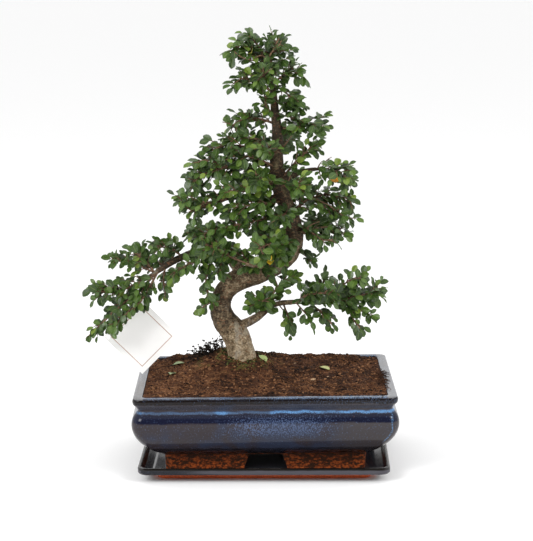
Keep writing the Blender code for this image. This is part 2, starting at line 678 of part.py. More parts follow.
def grow_leaf(room, trunk_tree, spray, name, path, share, sign, seed):
    """One leaf at a share of its twig: at the tip it points onwards, elsewhere it turns aside."""
    draw = random.Random(seed)
    base, along = along_path(path, share)
    if share == 1.0:
        base = base - along * TIP_SINK
        sign = 0
    for loose in range(TRIES):
        matrix = leaf_matrix(base, along, sign, draw, loose)
        shape = blade_shape(matrix, LEAF_THICKNESS + 2 * CLEARANCE, CLEARANCE, LEAF_ROOT_SHARE)
        if near_wood(matrix @ Vector((0.0, LEAF_LENGTH / 2, 0.0)), trunk_tree):
            continue
        if room.is_free(shape, lambda owner, piece: False):
            spray["leaves"].append(matrix)
            room.add(shape, name, "leaf")
            return


def make_spray(name, spray, parts, joined, materials):
    """A leafy stem: stem, twigs and blades fused into one body."""
    wood, leaf = materials
    stem = make_wood("spray_" + name, spray["stem"], spray["radii"], 0, parts, wood)
    for index, path in enumerate(spray["twigs"]):
        make_wood("twig_%d" % index, path, [TWIG_BASE_RADIUS, TWIG_TIP_RADIUS], 0, joined, wood)
    for index, matrix in enumerate(spray["leaves"]):
        corners, faces = blade_shape(matrix, LEAF_THICKNESS, 0.0, 0.0)
        bm = bmesh.new()
        verts = [bm.verts.new(corner) for corner in corners]
        for face in faces:
            bm.faces.new([verts[i] for i in face])
        bmesh.ops.recalc_face_normals(bm, faces=bm.faces)
        object_from_bmesh("leaf_%d" % index, bm, joined, leaf)
    union_all(stem, joined)
    shade_round(stem)
    return stem


# Small things: the leaves that fell on the soil and the plain card


def make_fallen_leaf(name, place, turn, soil_tree, parts, leaf):
    """A dropped leaf that lies on the soil."""
    hit, normal, _, _ = soil_tree.ray_cast(Vector((*place, 1.0)), -UP)
    length = Vector((math.cos(math.radians(turn)), math.sin(math.radians(turn)), 0.0))
    length = (length - normal * length.dot(normal)).normalized()
    columns = Matrix((length.cross(normal), length, normal)).transposed().to_4x4()
    matrix = Matrix.Translation(hit - length * LEAF_LENGTH / 2) @ columns
    corners, faces = blade_shape(matrix, LEAF_THICKNESS, 0.0, 0.0)
    heights = [corner.z - soil_tree.ray_cast(corner + UP, -UP)[0].z for corner in corners]
    lift = UP * (GAP - min(heights))
    bm = bmesh.new()
    verts = [bm.verts.new(corner + lift) for corner in corners]
    for face in faces:
        bm.faces.new([verts[i] for i in face])
    bmesh.ops.recalc_face_normals(bm, faces=bm.faces)
    return object_from_bmesh(name, bm, parts, leaf)


def make_card(parts, cutters):
    """Plain square card that stands on one corner, with a small punched hole in its left corner."""
    paper = make_material("card_paper", (0.86, 0.85, 0.82), 0.6)
    bm = bmesh.new()
    bmesh.ops.create_cube(bm, size=1.0)
    bmesh.ops.scale(bm, verts=bm.verts, vec=(CARD_SIDE, CARD_THICKNESS, CARD_SIDE))
    bmesh.ops.rotate(bm, verts=bm.verts, matrix=Matrix.Rotation(math.pi / 4, 3, "Y"))
    half_diagonal = CARD_SIDE / math.sqrt(2)
    bmesh.ops.translate(bm, verts=bm.verts, vec=(0.0, 0.0, half_diagonal))
    lean = Matrix.Rotation(-CARD_LEAN, 3, "X")
    bmesh.ops.rotate(bm, verts=bm.verts, matrix=lean)
    foot = Vector((CARD_FOOT[0], CARD_FOOT[1], 0.0))
    lowest = min(vert.co.z for vert in bm.verts)
    lift = Vector((0.0, 0.0, POT_RIM_Z + GAP - lowest))
    bmesh.ops.translate(bm, verts=bm.verts, vec=foot + lift)
    card = object_from_bmesh("hang_card", bm, parts, paper)
    bm = bmesh.new()
    middle = lean @ Vector((CARD_HOLE_INSET - half_diagonal, 0.0, half_diagonal)) + foot + lift
    turn = Matrix.Translation(middle) @ Matrix.Rotation(math.pi / 2, 4, "X")
    bmesh.ops.create_cone(bm, cap_ends=True, segments=12, radius1=CARD_HOLE_RADIUS,
                          radius2=CARD_HOLE_RADIUS, depth=CUT_REACH, matrix=turn)
    punch = object_from_bmesh("cut_card_hole", bm, cutters, paper)
    add_boolean(card, "DIFFERENCE", make_cutter(punch, cutters))
    return card


def add_card_to_room(card, room):
    """Twigs and leaves keep clear of the card."""
    corners = [vert.co.copy() for vert in card.data.vertices]
    centre = sum(corners, Vector()) / len(corners)
    normal = (corners[0] - corners[2]).cross(corners[0] - corners[4]).normalized()
    padded = [c + normal * CLEARANCE * (1 if (c - centre).dot(normal) > 0 else -1) for c in corners]
    faces = [tuple(polygon.vertices) for polygon in card.data.polygons]
    room.add((padded, faces), "card", "card")


def main():
    remove_scene_objects()
    parts = make_collection("zelkova_bonsai")
    cutters = make_collection("cutters")
    joined = make_collection("joined")
    make_pot(parts, cutters)
    make_tray(parts)
    soil = make_soil(parts)
    card = make_card(parts, cutters)
    trunk = make_trunk(parts, joined)
    bpy.context.view_layer.update()
    graph = bpy.context.evaluated_depsgraph_get()
    trunk_tree = BVHTree.FromObject(trunk, graph)
    soil_tree = BVHTree.FromObject(soil, graph)
    room = Room()
    add_trunk_to_room(trunk, room)
    add_card_to_room(card, room)
    twig_bark = make_material("twig_bark", (0.16, 0.09, 0.05), 0.8)
    leaf_green = make_material("leaf_green", (0.035, 0.12, 0.03), 0.35)
    sprays = grow_sprays(room, trunk_tree)
    for name, spray in sprays.items():
        make_spray(name, spray, parts, joined, (twig_bark, leaf_green))
    for name, place, turn in FALLEN_LEAVES:
        make_fallen_leaf(name, place, turn, soil_tree, parts, leaf_green)
    bpy.data.collections.remove(joined)
    leaves = sum(len(spray["leaves"]) for spray in sprays.values())
    twigs = sum(len(spray["twigs"]) for spray in sprays.values())
    print("sprays %d, twigs %d, leaves %d" % (len(sprays), twigs, leaves))


main()
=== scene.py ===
# %% [markdown]
# # A zelkova bonsai in its glazed pot
# The solids of the pot, the tray, the soil and the tree come packed as a fixed frame, and this lesson
# dresses them. A bonsai is mostly small repeats: leaves on twigs on branches. So the script makes one
# good leaf and one rule for how twigs carry leaves, and lets a seeded rule fill the tree with them.

import math
import random

import bmesh
import bpy
from mathutils import Matrix, Vector, noise
from mathutils.bvhtree import BVHTree


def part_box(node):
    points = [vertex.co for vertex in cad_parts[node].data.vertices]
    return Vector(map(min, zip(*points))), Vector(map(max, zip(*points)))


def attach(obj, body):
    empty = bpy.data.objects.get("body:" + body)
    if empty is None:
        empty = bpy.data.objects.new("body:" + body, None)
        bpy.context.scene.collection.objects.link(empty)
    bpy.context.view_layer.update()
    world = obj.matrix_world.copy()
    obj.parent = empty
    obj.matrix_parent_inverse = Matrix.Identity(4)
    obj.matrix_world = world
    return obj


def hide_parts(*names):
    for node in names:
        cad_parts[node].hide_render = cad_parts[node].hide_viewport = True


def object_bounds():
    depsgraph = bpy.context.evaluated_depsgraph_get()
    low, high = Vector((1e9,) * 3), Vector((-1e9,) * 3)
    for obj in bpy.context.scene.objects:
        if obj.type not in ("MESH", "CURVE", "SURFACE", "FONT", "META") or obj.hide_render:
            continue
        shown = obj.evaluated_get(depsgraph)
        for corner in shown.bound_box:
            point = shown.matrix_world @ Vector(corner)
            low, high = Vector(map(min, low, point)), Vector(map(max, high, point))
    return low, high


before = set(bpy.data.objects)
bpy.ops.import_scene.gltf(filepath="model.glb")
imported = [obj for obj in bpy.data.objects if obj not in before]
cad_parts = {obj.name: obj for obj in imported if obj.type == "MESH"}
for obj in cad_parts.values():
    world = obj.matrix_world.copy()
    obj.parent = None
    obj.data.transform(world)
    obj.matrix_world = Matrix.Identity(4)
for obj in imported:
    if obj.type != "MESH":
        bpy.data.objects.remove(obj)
solid_box = [list(corner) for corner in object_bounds()]
print("solids:", len(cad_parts), "box:", [[round(v, 4) for v in corner] for corner in solid_box])

# %% [markdown]
# ## Nodes as sums
# A finish is easier to read as sums than as a web of nodes. `Number` wraps a socket and turns +, -, *
# and / into Math nodes. It could all be done with plain node calls, but each line would then take five.

# %% Numbers
class Number:
    """A socket that carries a number, so that shader maths reads as a sum."""

    def __init__(self, finish, socket):
        self.finish = finish
        self.socket = socket

    def maths(self, operation, first, second=0.0):
        node = self.finish.node("Math", {"operation": operation}, {0: first, 1: second})
        return Number(self.finish, node.outputs[0])

    def __add__(self, other):
        return self.maths("ADD", self, other)

    def __radd__(self, other):
        return self.maths("ADD", other, self)

    def __sub__(self, other):
        return self.maths("SUBTRACT", self, other)

    def __rsub__(self, other):
        return self.maths("SUBTRACT", other, self)

    def __mul__(self, other):
        return self.maths("MULTIPLY", self, other)

    def __rmul__(self, other):
        return self.maths("MULTIPLY", other, self)

    def __truediv__(self, other):
        return self.maths("DIVIDE", self, other)

    def __abs__(self):
        return self.maths("ABSOLUTE", self)

    def sine(self):
        return self.maths("SINE", self)

    def at_most(self, other):
        return self.maths("MINIMUM", self, other)

    def at_least(self, other):
        return self.maths("MAXIMUM", self, other)


# %% [markdown]
# `Finish` holds one material, or the world, and adds every other node through one method, `node`: first
# its settings, then its values and links. Noise, ramps, colour mixes and bump are short calls on top of
# that. Patterns read Object coordinates in metres, so a number in a finish is a place on the piece.

# %% Finishes
class Finish:
    """One material or world, whose nodes are added by a call each."""

    def __init__(self, owner, shader="Principled BSDF"):
        self.material = owner
        owner.use_nodes = True
        self.tree = owner.node_tree
        self.shader = self.tree.nodes[shader]

    def feed(self, socket, value):
        """Links a number or a socket, or sets a constant."""
        if isinstance(value, Number):
            value = value.socket
        if isinstance(value, bpy.types.NodeSocket):
            self.tree.links.new(value, socket)
        else:
            socket.default_value = value

    def node(self, kind, settings=None, sockets=None):
        node = self.tree.nodes.new("ShaderNode" + kind)
        for label, value in (settings or {}).items():
            if label == "stops":
                ramp = node.color_ramp
                while len(ramp.elements) < len(value):
                    ramp.elements.new(1.0)
                for element, (place, colour) in zip(ramp.elements, value):
                    element.position = place
                    element.color = (*colour, 1.0)
            else:
                setattr(node, label, value)
        for label, value in (sockets or {}).items():
            self.feed(node.inputs[label], value)
        return node

    def set(self, **values):
        """Values or sockets for the shader's own sockets, with _ for each space in a name."""
        for label, value in values.items():
            self.feed(self.shader.inputs[label.replace("_", " ")], value)

    def number(self, socket):
        return Number(self, socket)

    def place(self):
        """Where the surface is, in metres: the vector, and x, y and z as numbers."""
        vector = self.node("TexCoord").outputs["Object"]
        parts = self.node("SeparateXYZ", None, {0: vector}).outputs
        return vector, [self.number(part) for part in parts]

    def stretched(self, vector, scale):
        return self.node("Mapping", None, {"Vector": vector, "Scale": scale}).outputs[0]

    def noise(self, vector, scale, detail=3.0, rough=0.55):
        sockets = {"Vector": vector, "Scale": scale, "Detail": detail, "Roughness": rough}
        return self.number(self.node("TexNoise", None, sockets).outputs["Fac"])

    def own(self, name):
        """A number stored on the mesh."""
        return self.number(self.node("Attribute", {"attribute_name": name}).outputs["Fac"])

    def rise(self, value, low, high):
        """0 at low, 1 at high and smooth between, whichever of the two is the larger."""
        sockets = {"Value": value, "From Min": low, "From Max": high}
        node = self.node("MapRange", {"interpolation_type": "SMOOTHSTEP"}, sockets)
        return self.number(node.outputs["Result"])

    def mix(self, first, second, share):
        """Between two colours."""
        colours = [(*c, 1.0) if isinstance(c, tuple) else c for c in (first, second)]
        sockets = {0: share, 6: colours[0], 7: colours[1]}
        return self.node("Mix", {"data_type": "RGBA"}, sockets).outputs[2]

    def ramp(self, value, stops):
        return self.node("ValToRGB", {"stops": stops}, {0: value}).outputs[0]

    def bump(self, height, distance, strength=1.0):
        sockets = {"Height": height, "Distance": distance, "Strength": strength}
        self.set(Normal=self.node("Bump", None, sockets).outputs[0])


def new_finish(name):
    finish = Finish(bpy.data.materials.new(name))
    print("finish:", name)
    return finish


# %% [markdown]
# ## Meshes into pieces
# Every piece is a bmesh first and an object last.

# %% Piece
MM = 0.001
UP = Vector((0.0, 0.0, 1.0))
SHARP_ANGLE = math.radians(38)
pieces = []


def piece(name, bm, finishes, replaced=(), smooth=True, outwards=True):
    """The bmesh as a finished object, which stands for the solids in replaced."""
    if outwards:
        bmesh.ops.recalc_face_normals(bm, faces=bm.faces)
    mesh = bpy.data.meshes.new(name)
    bm.to_mesh(mesh)
    bm.free()
    for finish in finishes:
        mesh.materials.append(finish.material)
    if smooth:
        mesh.shade_smooth()
        mesh.set_sharp_from_angle(angle=SHARP_ANGLE)
    obj = bpy.data.objects.new(name, mesh)
    bpy.context.scene.collection.objects.link(obj)
    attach(obj, "root")
    if replaced:
        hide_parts(*replaced)
    triangles = sum(len(polygon.vertices) - 2 for polygon in mesh.polygons)
    pieces.append((name, triangles))
    print(name, triangles, "triangles")
    return obj


# %% In and out of objects
def settled(obj):
    """The object's mesh with its modifiers applied, as a bmesh, and the object gone."""
    bpy.context.view_layer.update()
    mesh = bpy.data.meshes.new_from_object(obj.evaluated_get(bpy.context.evaluated_depsgraph_get()))
    bpy.data.objects.remove(obj, do_unlink=True)
    bm = bmesh.new()
    bm.from_mesh(mesh)
    bpy.data.meshes.remove(mesh)
    return bm


def loose_object(name, bm):
    """A plain object, for a modifier to work on."""
    mesh = bpy.data.meshes.new(name)
    bm.to_mesh(mesh)
    bm.free()
    obj = bpy.data.objects.new(name, mesh)
    bpy.context.scene.collection.objects.link(obj)
    return obj


# %% [markdown]
# ## A smooth line through a few points
# Profiles and branches are given by a few points each, because that is how a potter or a grower sees
# them. A Catmull-Rom curve passes through every one of them, unlike a Bezier curve whose handles would
# be more numbers to keep.

# %% Smooth line
def smooth_line(rows, steps):
    """Rows of numbers, with steps - 1 more rows read from a smooth curve between each two."""
    rows = [Vector(row) for row in rows]
    line = []
    for i in range(len(rows) - 1):
        before = rows[max(i - 1, 0)]
        start, end = rows[i], rows[i + 1]
        after = rows[min(i + 2, len(rows) - 1)]
        for step in range(steps):
            t = step / steps
            line.append(0.5 * (2 * start + (end - before) * t
                               + (2 * before - 5 * start + 4 * end - after) * t * t
                               + (3 * start - before - 3 * end + after) * t * t * t))
    line.append(rows[-1])
    return line


# %% [markdown]
# ## Glaze
# The pot was dipped in a blue glaze that breaks: it runs off the edges of the lip and leaves them
# brown-black, and pools light blue in the groove below. Height alone tells where that happens, so bands
# along z carry the colours, and noise makes their borders wander. Each function below paints one region
# over the colour that it is given. The first one is the bulging side: violet-grey, browner to the right,
# navy under the groove, with a cloud of pale specks in the middle that doubles as a painted reflection
# there, and a few rusty pits.

# %% Glaze on the side
def side_glaze(glaze, pits, x, z, height, flow, clouds):
    cool = glaze.mix((0.030, 0.024, 0.028), (0.025, 0.030, 0.052), glaze.rise(clouds + x, 0.38, 0.58))
    browner = glaze.rise(x + (clouds - 0.5) * 0.12, 0.050, 0.095) * 0.85
    body = glaze.mix(cool, (0.044, 0.037, 0.037), browner)
    navy = glaze.rise(abs(height - 0.0752), 0.0056, 0.0034)
    banded = glaze.mix(body, (0.004, 0.006, 0.021), navy * 0.92)
    # Pale specks gather in the middle of the bulge, and there they also make a painted reflection.
    speck_cloud_and_reflection = glaze.rise(abs(x - 0.015), 0.085, 0.020) * glaze.rise(abs(z - 0.066), 0.018, 0.004)
    specks = glaze.rise(flow + speck_cloud_and_reflection * 0.15, 0.59, 0.73) * 0.80
    speckled = glaze.mix(banded, (0.075, 0.110, 0.205), specks)
    pitted = glaze.rise(pits, 0.70, 0.76) * glaze.rise(flow, 0.40, 0.55)
    return glaze.mix(speckled, (0.060, 0.026, 0.018), pitted * 0.7)


# %% [markdown]
# The glaze pools in the groove, and a thin light streak runs down where the front turns the corner. The
# corner lies further in lower down, so the streak follows a ridge that moves with z.

# %% Glaze in the groove and at the corners
def groove_glaze(glaze, colour, x, z, height, flow, clouds):
    in_groove = glaze.rise(abs(height + (flow - 0.5) * 0.003 - 0.0814), 0.0019, 0.0005)
    patchy = 0.28 + glaze.rise(clouds + x * 0.8, 0.42, 0.58) * 0.60
    pool = in_groove * glaze.rise(flow, 0.30, 0.52) * patchy
    pooled = glaze.mix(colour, (0.115, 0.275, 0.540), pool)
    ridge = 0.1392 - glaze.rise(z, 0.062, 0.038) * 0.0125
    at_corner = glaze.rise(abs(x + (flow - 0.5) * 0.002 - ridge), 0.0016, 0.0004)
    below_groove = glaze.rise(z, 0.0815, 0.0790) * glaze.rise(z, 0.043, 0.050)
    streak = at_corner * below_groove * glaze.rise(flow, 0.44, 0.58) * 0.7
    return glaze.mix(pooled, (0.110, 0.240, 0.440), streak)


# %% [markdown]
# The lip is frosted grey below, thin and nearly black round its edge, with blue freckles to the right,
# and pale on top, where it faces the light. Where the body curves in just above the feet, the same
# near-black is painted more weakly, as shade.

# %% Glaze on the lip
def lip_glaze(glaze, colour, x, z, height, flow, clouds):
    under_lip = glaze.rise(abs(height - 0.0880), 0.0034, 0.0014)
    frosted = glaze.mix(colour, (0.066, 0.069, 0.085), under_lip * glaze.rise(flow, 0.34, 0.60) * 0.75)
    on_lip = glaze.rise(abs(height - 0.0945), 0.0036, 0.0026)
    # Painted shade: the lower body, which curves in above the feet, is darkened with the lip's near-black.
    foot_shade = glaze.rise(height, 0.0405, 0.0365)
    thin_lip_and_foot_shade = (on_lip + foot_shade * 0.62).at_most(1.0) * 0.95
    # The near-black here is thin glaze on the lip and painted shade above the feet.
    thin = glaze.mix(frosted, (0.0050, 0.0026, 0.0022), thin_lip_and_foot_shade)
    freckles = on_lip * glaze.rise(flow + glaze.rise(x, -0.06, 0.12) * 0.06, 0.57, 0.68)
    freckled = glaze.mix(thin, (0.060, 0.088, 0.150), freckles * 0.55)
    on_rim = glaze.rise(z, 0.0970, 0.0977)
    rim_dots = on_rim * glaze.rise(flow, 0.42, 0.62) * (0.35 + glaze.rise(clouds, 0.35, 0.60) * 0.65)
    dotted = glaze.mix(freckled, (0.150, 0.225, 0.350), rim_dots)
    side_rim = on_rim * glaze.rise(abs(x), 0.1330, 0.1350)
    return glaze.mix(dotted, (0.235, 0.228, 0.225), side_rim * (0.35 + flow * 0.6))


# %% [markdown]
# The feet and the hollow under the pot stayed bare clay: orange, and smeared black by years of wet. The
# clay also darkens upwards, towards the body that overhangs it, as painted shade. Last, the regions are
# stacked, the height says where the clay begins, and the glaze gets its gloss.

# %% Bare clay and the whole pot
def smeared_shaded_clay(glaze, vector, z, grit):
    clay = glaze.ramp(grit, [(0.34, (0.09, 0.016, 0.005)), (0.60, (0.46, 0.100, 0.020))])
    blotches = glaze.noise(glaze.stretched(vector, (1.0, 1.0, 2.0)), 160.0, 5.0, 0.7)
    # Black smears, plus painted shade that grows upwards towards the body overhanging the clay.
    smears_and_shade = glaze.rise(blotches, 0.43, 0.55) + glaze.rise(z, 0.010, 0.026) * 0.35
    return glaze.mix(clay, (0.014, 0.010, 0.006), smears_and_shade.at_most(1.0) * 0.9)


def blue_glaze():
    glaze = new_finish("blue_glaze")
    vector, (x, _, z) = glaze.place()
    wander = glaze.noise(vector, 55.0)
    height = z + (wander - 0.5) * 0.004
    flow = glaze.noise(glaze.stretched(vector, (1.0, 1.0, 0.6)), 1000.0, 4.0)
    clouds = glaze.noise(vector, 26.0, 2.0)
    side = side_glaze(glaze, glaze.noise(vector, 190.0, 2.0), x, z, height, flow, clouds)
    glazed = lip_glaze(glaze, groove_glaze(glaze, side, x, z, height, flow, clouds),
                       x, z, height, flow, clouds)
    grit = glaze.noise(vector, 420.0, 5.0)
    is_clay = glaze.rise(height, 0.0290, 0.0275)
    glaze.set(Base_Color=glaze.mix(glazed, smeared_shaded_clay(glaze, vector, z, grit), is_clay),
              Roughness=0.10 + wander * 0.06 + is_clay * 0.55, Specular_IOR_Level=0.22)
    glaze.bump(wander * 0.6 + flow * 0.06 + grit * is_clay * 0.5, 0.0006, 0.35)
    return glaze


glaze = blue_glaze()

# %% [markdown]
# ## Pot
# A press-moulded rectangle: every level of it is a rectangle with rounded corners, a little larger or
# smaller than the one below. So each level is four vertices with bevelled corners, and bridging the
# levels makes the skin, inside and outside in one. Its outline is read from the photograph, level by
# level: the feet, the bulge, the groove and the rolled lip.

# %% Pot profile
POT_LENGTH = 0.292
POT_DEPTH = 0.200
POT_OUTSIDE = [  # inset, height and corner radius in millimetres
    (34.0, 7.3, 8), (33.0, 26.0, 9), (29.0, 27.0, 10), (19.5, 32.5, 12), (10.5, 40.5, 13),
    (3.4, 50.0, 13), (-0.7, 60.0, 13), (-1.6, 68.0, 13), (-0.1, 75.0, 12), (3.0, 80.0, 11),
    (4.8, 82.5, 10), (4.6, 85.0, 9), (2.2, 88.5, 9), (0.6, 91.0, 9), (0.0, 94.5, 9),
    (0.9, 97.2, 8), (2.4, 98.0, 7),
]
POT_INSIDE = [
    (9.8, 97.9, 5), (10.6, 97.6, 5), (11.2, 97.0, 5), (11.5, 96.0, 5), (12.0, 62.0, 5), (14.5, 51.0, 6),
    (19.0, 43.0, 6), (27.0, 33.5, 8),
]


# %% Levels and lofts
CORNER_SEGMENTS = 7


def level(bm, length, depth, z, radius):
    """The edges of a level rectangle with rounded corners."""
    verts = bmesh.ops.create_grid(bm, x_segments=1, y_segments=1, size=0.5)["verts"]
    for vert in verts:
        vert.co = (math.copysign(length / 2, vert.co.x), math.copysign(depth / 2, vert.co.y), z)
    rounded = bmesh.ops.bevel(bm, geom=verts, offset=radius, offset_type="OFFSET", affect="VERTICES",
                              segments=CORNER_SEGMENTS, profile=0.5, material=-1)
    face = rounded["verts"][0].link_faces[0]
    edges = list(face.edges)
    bmesh.ops.delete(bm, geom=[face], context="FACES_ONLY")
    return edges


def loft(rows, length, depth):
    """A closed skin over levels: rows of inset, height and corner radius, in millimetres."""
    bm = bmesh.new()
    rings = [level(bm, length - 2 * inset * MM, depth - 2 * inset * MM, z * MM, radius * MM)
             for inset, z, radius in rows]
    for low, high in zip(rings, rings[1:]):
        bmesh.ops.bridge_loops(bm, edges=low + high)
    bmesh.ops.edgeloop_fill(bm, edges=rings[0])
    bmesh.ops.edgeloop_fill(bm, edges=rings[-1])
    bmesh.ops.recalc_face_normals(bm, faces=bm.faces)
    return bm


# %% [markdown]
# Cutting is the true way to get the hollow under the pot, the four notches between the feet and the two
# drain holes, as a potter cuts them with a wire. A Boolean modifier does it.

# %% Cuts
def cut(bm, cutters):
    """The bmesh with other closed bmeshes cut out of it."""
    obj = loose_object("whole", bm)
    knives = [loose_object("knife", knife) for knife in cutters]
    for knife in knives:
        modifier = obj.modifiers.new("cut", "BOOLEAN")
        modifier.operation = "DIFFERENCE"
        modifier.solver = "EXACT"
        modifier.object = knife
    result = settled(obj)
    for knife in knives:
        bpy.data.objects.remove(knife, do_unlink=True)
    return result


# %% [markdown]
# The notch is the one shape that isn't a rectangle: it has slanting sides and cut-off upper corners. A
# box whose top edges are bevelled gives that, and its lower end is then spread a little.

# %% Notches and drain holes
FRONT_NOTCH = 0.046
SIDE_NOTCH = 0.034
NOTCH_TOP = 0.025
NOTCH_LOW = 0.0033
NOTCH_SPREAD = 0.006
NOTCH_SHOULDER = 0.004
POT_UNDERSIDE = 0.026
DRAIN_RADIUS = 0.005
DRAIN_X = 0.060


def notch(width, along):
    bm = bmesh.new()
    middle = (NOTCH_TOP + NOTCH_LOW) / 2
    narrow, wide = width - NOTCH_SPREAD, width + NOTCH_SPREAD
    bmesh.ops.create_cube(bm, size=1.0)
    bmesh.ops.scale(bm, vec=(narrow, along, NOTCH_TOP - NOTCH_LOW), verts=bm.verts)
    bmesh.ops.translate(bm, vec=(0.0, 0.0, middle), verts=bm.verts)
    upper = [edge for edge in bm.edges if all(vert.co.z > middle for vert in edge.verts)
             and abs(edge.verts[0].co.y - edge.verts[1].co.y) > MM]
    bmesh.ops.bevel(bm, geom=upper, offset=NOTCH_SHOULDER, offset_type="OFFSET", affect="EDGES",
                    segments=3, profile=0.5, material=-1)
    for vert in bm.verts:
        if vert.co.z < middle - 0.008:
            vert.co.x *= wide / narrow
    return bm


def drain_hole(x):
    bm = bmesh.new()
    bmesh.ops.create_cone(bm, cap_ends=True, segments=28, radius1=DRAIN_RADIUS, radius2=DRAIN_RADIUS,
                          depth=0.03)
    bmesh.ops.translate(bm, verts=bm.verts, vec=(x, 0.0, POT_UNDERSIDE))
    return bm


# %% Pot
HOLLOW_INSET = 46.0
HOLLOW_LOW = -4.0
HOLLOW_CORNER = 6


def pot_mesh():
    outside = smooth_line(POT_OUTSIDE[1:], 4)
    bm = loft([POT_OUTSIDE[0]] + outside + POT_INSIDE, POT_LENGTH, POT_DEPTH)
    hollow = loft([(HOLLOW_INSET, z, HOLLOW_CORNER) for z in (HOLLOW_LOW, POT_UNDERSIDE / MM)],
                  POT_LENGTH, POT_DEPTH)
    front = notch(FRONT_NOTCH, POT_DEPTH)
    side = notch(SIDE_NOTCH, POT_LENGTH)
    bmesh.ops.rotate(side, verts=side.verts, matrix=Matrix.Rotation(math.pi / 2, 3, "Z"))
    return cut(bm, [hollow, front, side, drain_hole(-DRAIN_X), drain_hole(DRAIN_X)])


piece("glazed_pot", pot_mesh(), [glaze], ["pot"], outwards=False)

# %% [markdown]
# ## Tray
# The tray is the pot's shallow sister: dark glaze inside and out, worn brown along its rim, and a bare
# foot that it was fired on. Its middle lies in the pot's dark shade and is dull with dust, so it doesn't
# mirror the feet. The tray stands a little turned under the pot.

# %% Tray glaze
def tray_glaze():
    dark = new_finish("tray_glaze")
    vector, (x, y, z) = dark.place()
    wander = dark.noise(vector, 60.0)
    height = z + (wander - 0.5) * 0.0016
    flow = dark.noise(vector, 650.0, 4.0)
    deep = dark.mix((0.007, 0.007, 0.010), (0.014, 0.016, 0.026), dark.rise(flow, 0.45, 0.65))
    outer = dark.rise(abs(x) / 0.140, 0.985, 0.992).at_least(dark.rise(abs(y) / 0.0965, 0.972, 0.985))
    faced = dark.mix(deep, (0.066, 0.062, 0.074), outer * dark.rise(height, 0.0152, 0.0140) * 0.9)
    thin = dark.mix(faced, (0.009, 0.007, 0.006), dark.rise(abs(height - 0.0165), 0.0020, 0.0011))
    grit = dark.noise(vector, 500.0, 4.0)
    clay = dark.ramp(grit, [(0.3, (0.56, 0.110, 0.040)), (0.65, (0.84, 0.190, 0.070))])
    is_clay = dark.rise(height, 0.0048, 0.0040)
    dusty = dark.rise(abs(x), 0.116, 0.100) * dark.rise(abs(y), 0.074, 0.060) * dark.rise(z, 0.0095, 0.0080)
    dark.set(Base_Color=dark.mix(thin, clay, is_clay), Specular_IOR_Level=0.3,
             Roughness=(0.12 + wander * 0.08 + is_clay * 0.6 + dusty * 0.6).at_most(1.0))
    dark.bump(wander * 0.5 + grit * is_clay * 0.4, 0.0006, 0.3)
    return dark


# %% Tray
TRAY_LENGTH = 0.280
TRAY_DEPTH = 0.193
TRAY_TURN = math.radians(-1.5)
TRAY_PROFILE = [
    (20.5, 0.0, 10), (20.0, 3.6, 10), (15.5, 5.2, 10), (1.2, 9.6, 10), (0.0, 11.5, 10), (0.0, 15.6, 10),
    (0.4, 16.6, 9), (1.2, 17.0, 9), (3.4, 16.9, 8), (4.2, 16.5, 8), (4.8, 15.5, 7), (6.4, 10.6, 7),
    (14.0, 7.0, 6),
]


def tray_mesh():
    bm = loft(TRAY_PROFILE, TRAY_LENGTH, TRAY_DEPTH)
    bmesh.ops.rotate(bm, verts=bm.verts, matrix=Matrix.Rotation(TRAY_TURN, 3, "Z"))
    return bm


piece("glazed_tray", tray_mesh(), [tray_glaze()], ["drip_tray"])

# %% [markdown]
# ## Camera, floor and light
# The camera stands where the photograph's camera stood: almost two metres off, above the pot's
# rim, with a long lens, so the rim's far edge shows as a thin line. The floor is a plain pale sheet, and
# two wide soft lamps over a pale room leave hardly a shadow. The room is darker behind the camera, as a
# studio is, because a glaze shows its depth only where it has something dark to mirror.

# %% Camera
FOCAL_PIXELS = 1762.3
FRAME_HEIGHT = 541
CAMERA_PLACE = Vector((-0.0082, -1.960, 0.6112))
CAMERA_YAW = math.radians(0.33)
CAMERA_PITCH = math.radians(11.26)
CAMERA_ROLL = math.radians(-0.48)


def add_camera():
    data = bpy.data.cameras.new("camera")
    data.sensor_width = 36.0
    data.lens = FOCAL_PIXELS * data.sensor_width / FRAME_HEIGHT
    data.clip_end = 60.0
    camera = bpy.data.objects.new("camera", data)
    bpy.context.scene.collection.objects.link(camera)
    forward = Vector((math.sin(CAMERA_YAW) * math.cos(CAMERA_PITCH),
                      math.cos(CAMERA_YAW) * math.cos(CAMERA_PITCH), -math.sin(CAMERA_PITCH)))
    right = Vector((math.cos(CAMERA_YAW), -math.sin(CAMERA_YAW), 0.0))
    above = right.cross(forward)
    across = right * math.cos(CAMERA_ROLL) + above * math.sin(CAMERA_ROLL)
    upward = above * math.cos(CAMERA_ROLL) - right * math.sin(CAMERA_ROLL)
    turn = Matrix((across, upward, -forward)).transposed().to_4x4()
    camera.matrix_world = Matrix.Translation(CAMERA_PLACE) @ turn
    bpy.context.scene.camera = camera
    print("lens:", round(data.lens, 1), "mm")


add_camera()

# %% Floor and light
FLOOR_HALF = 20.0
FLOOR_Z = -0.0003
ROOM_LIGHT = 1.12
LAMP_TARGET = Vector((0.0, 0.0, 0.2))


def add_floor():
    pale = new_finish("pale_floor")
    pale.set(Base_Color=(0.96, 0.96, 0.96, 1.0), Roughness=0.9)
    bm = bmesh.new()
    bmesh.ops.create_grid(bm, x_segments=1, y_segments=1, size=FLOOR_HALF)
    bmesh.ops.translate(bm, verts=bm.verts, vec=(0.0, 0.0, FLOOR_Z))
    floor = loose_object("floor", bm)
    floor.data.materials.append(pale.material)


def add_lamp(name, place, size, power):
    data = bpy.data.lights.new(name, "AREA")
    data.size = size
    data.energy = power
    lamp = bpy.data.objects.new(name, data)
    lamp.location = place
    lamp.rotation_euler = (LAMP_TARGET - Vector(place)).to_track_quat("-Z", "Y").to_euler()
    bpy.context.scene.collection.objects.link(lamp)
    print(name, power, "watts")


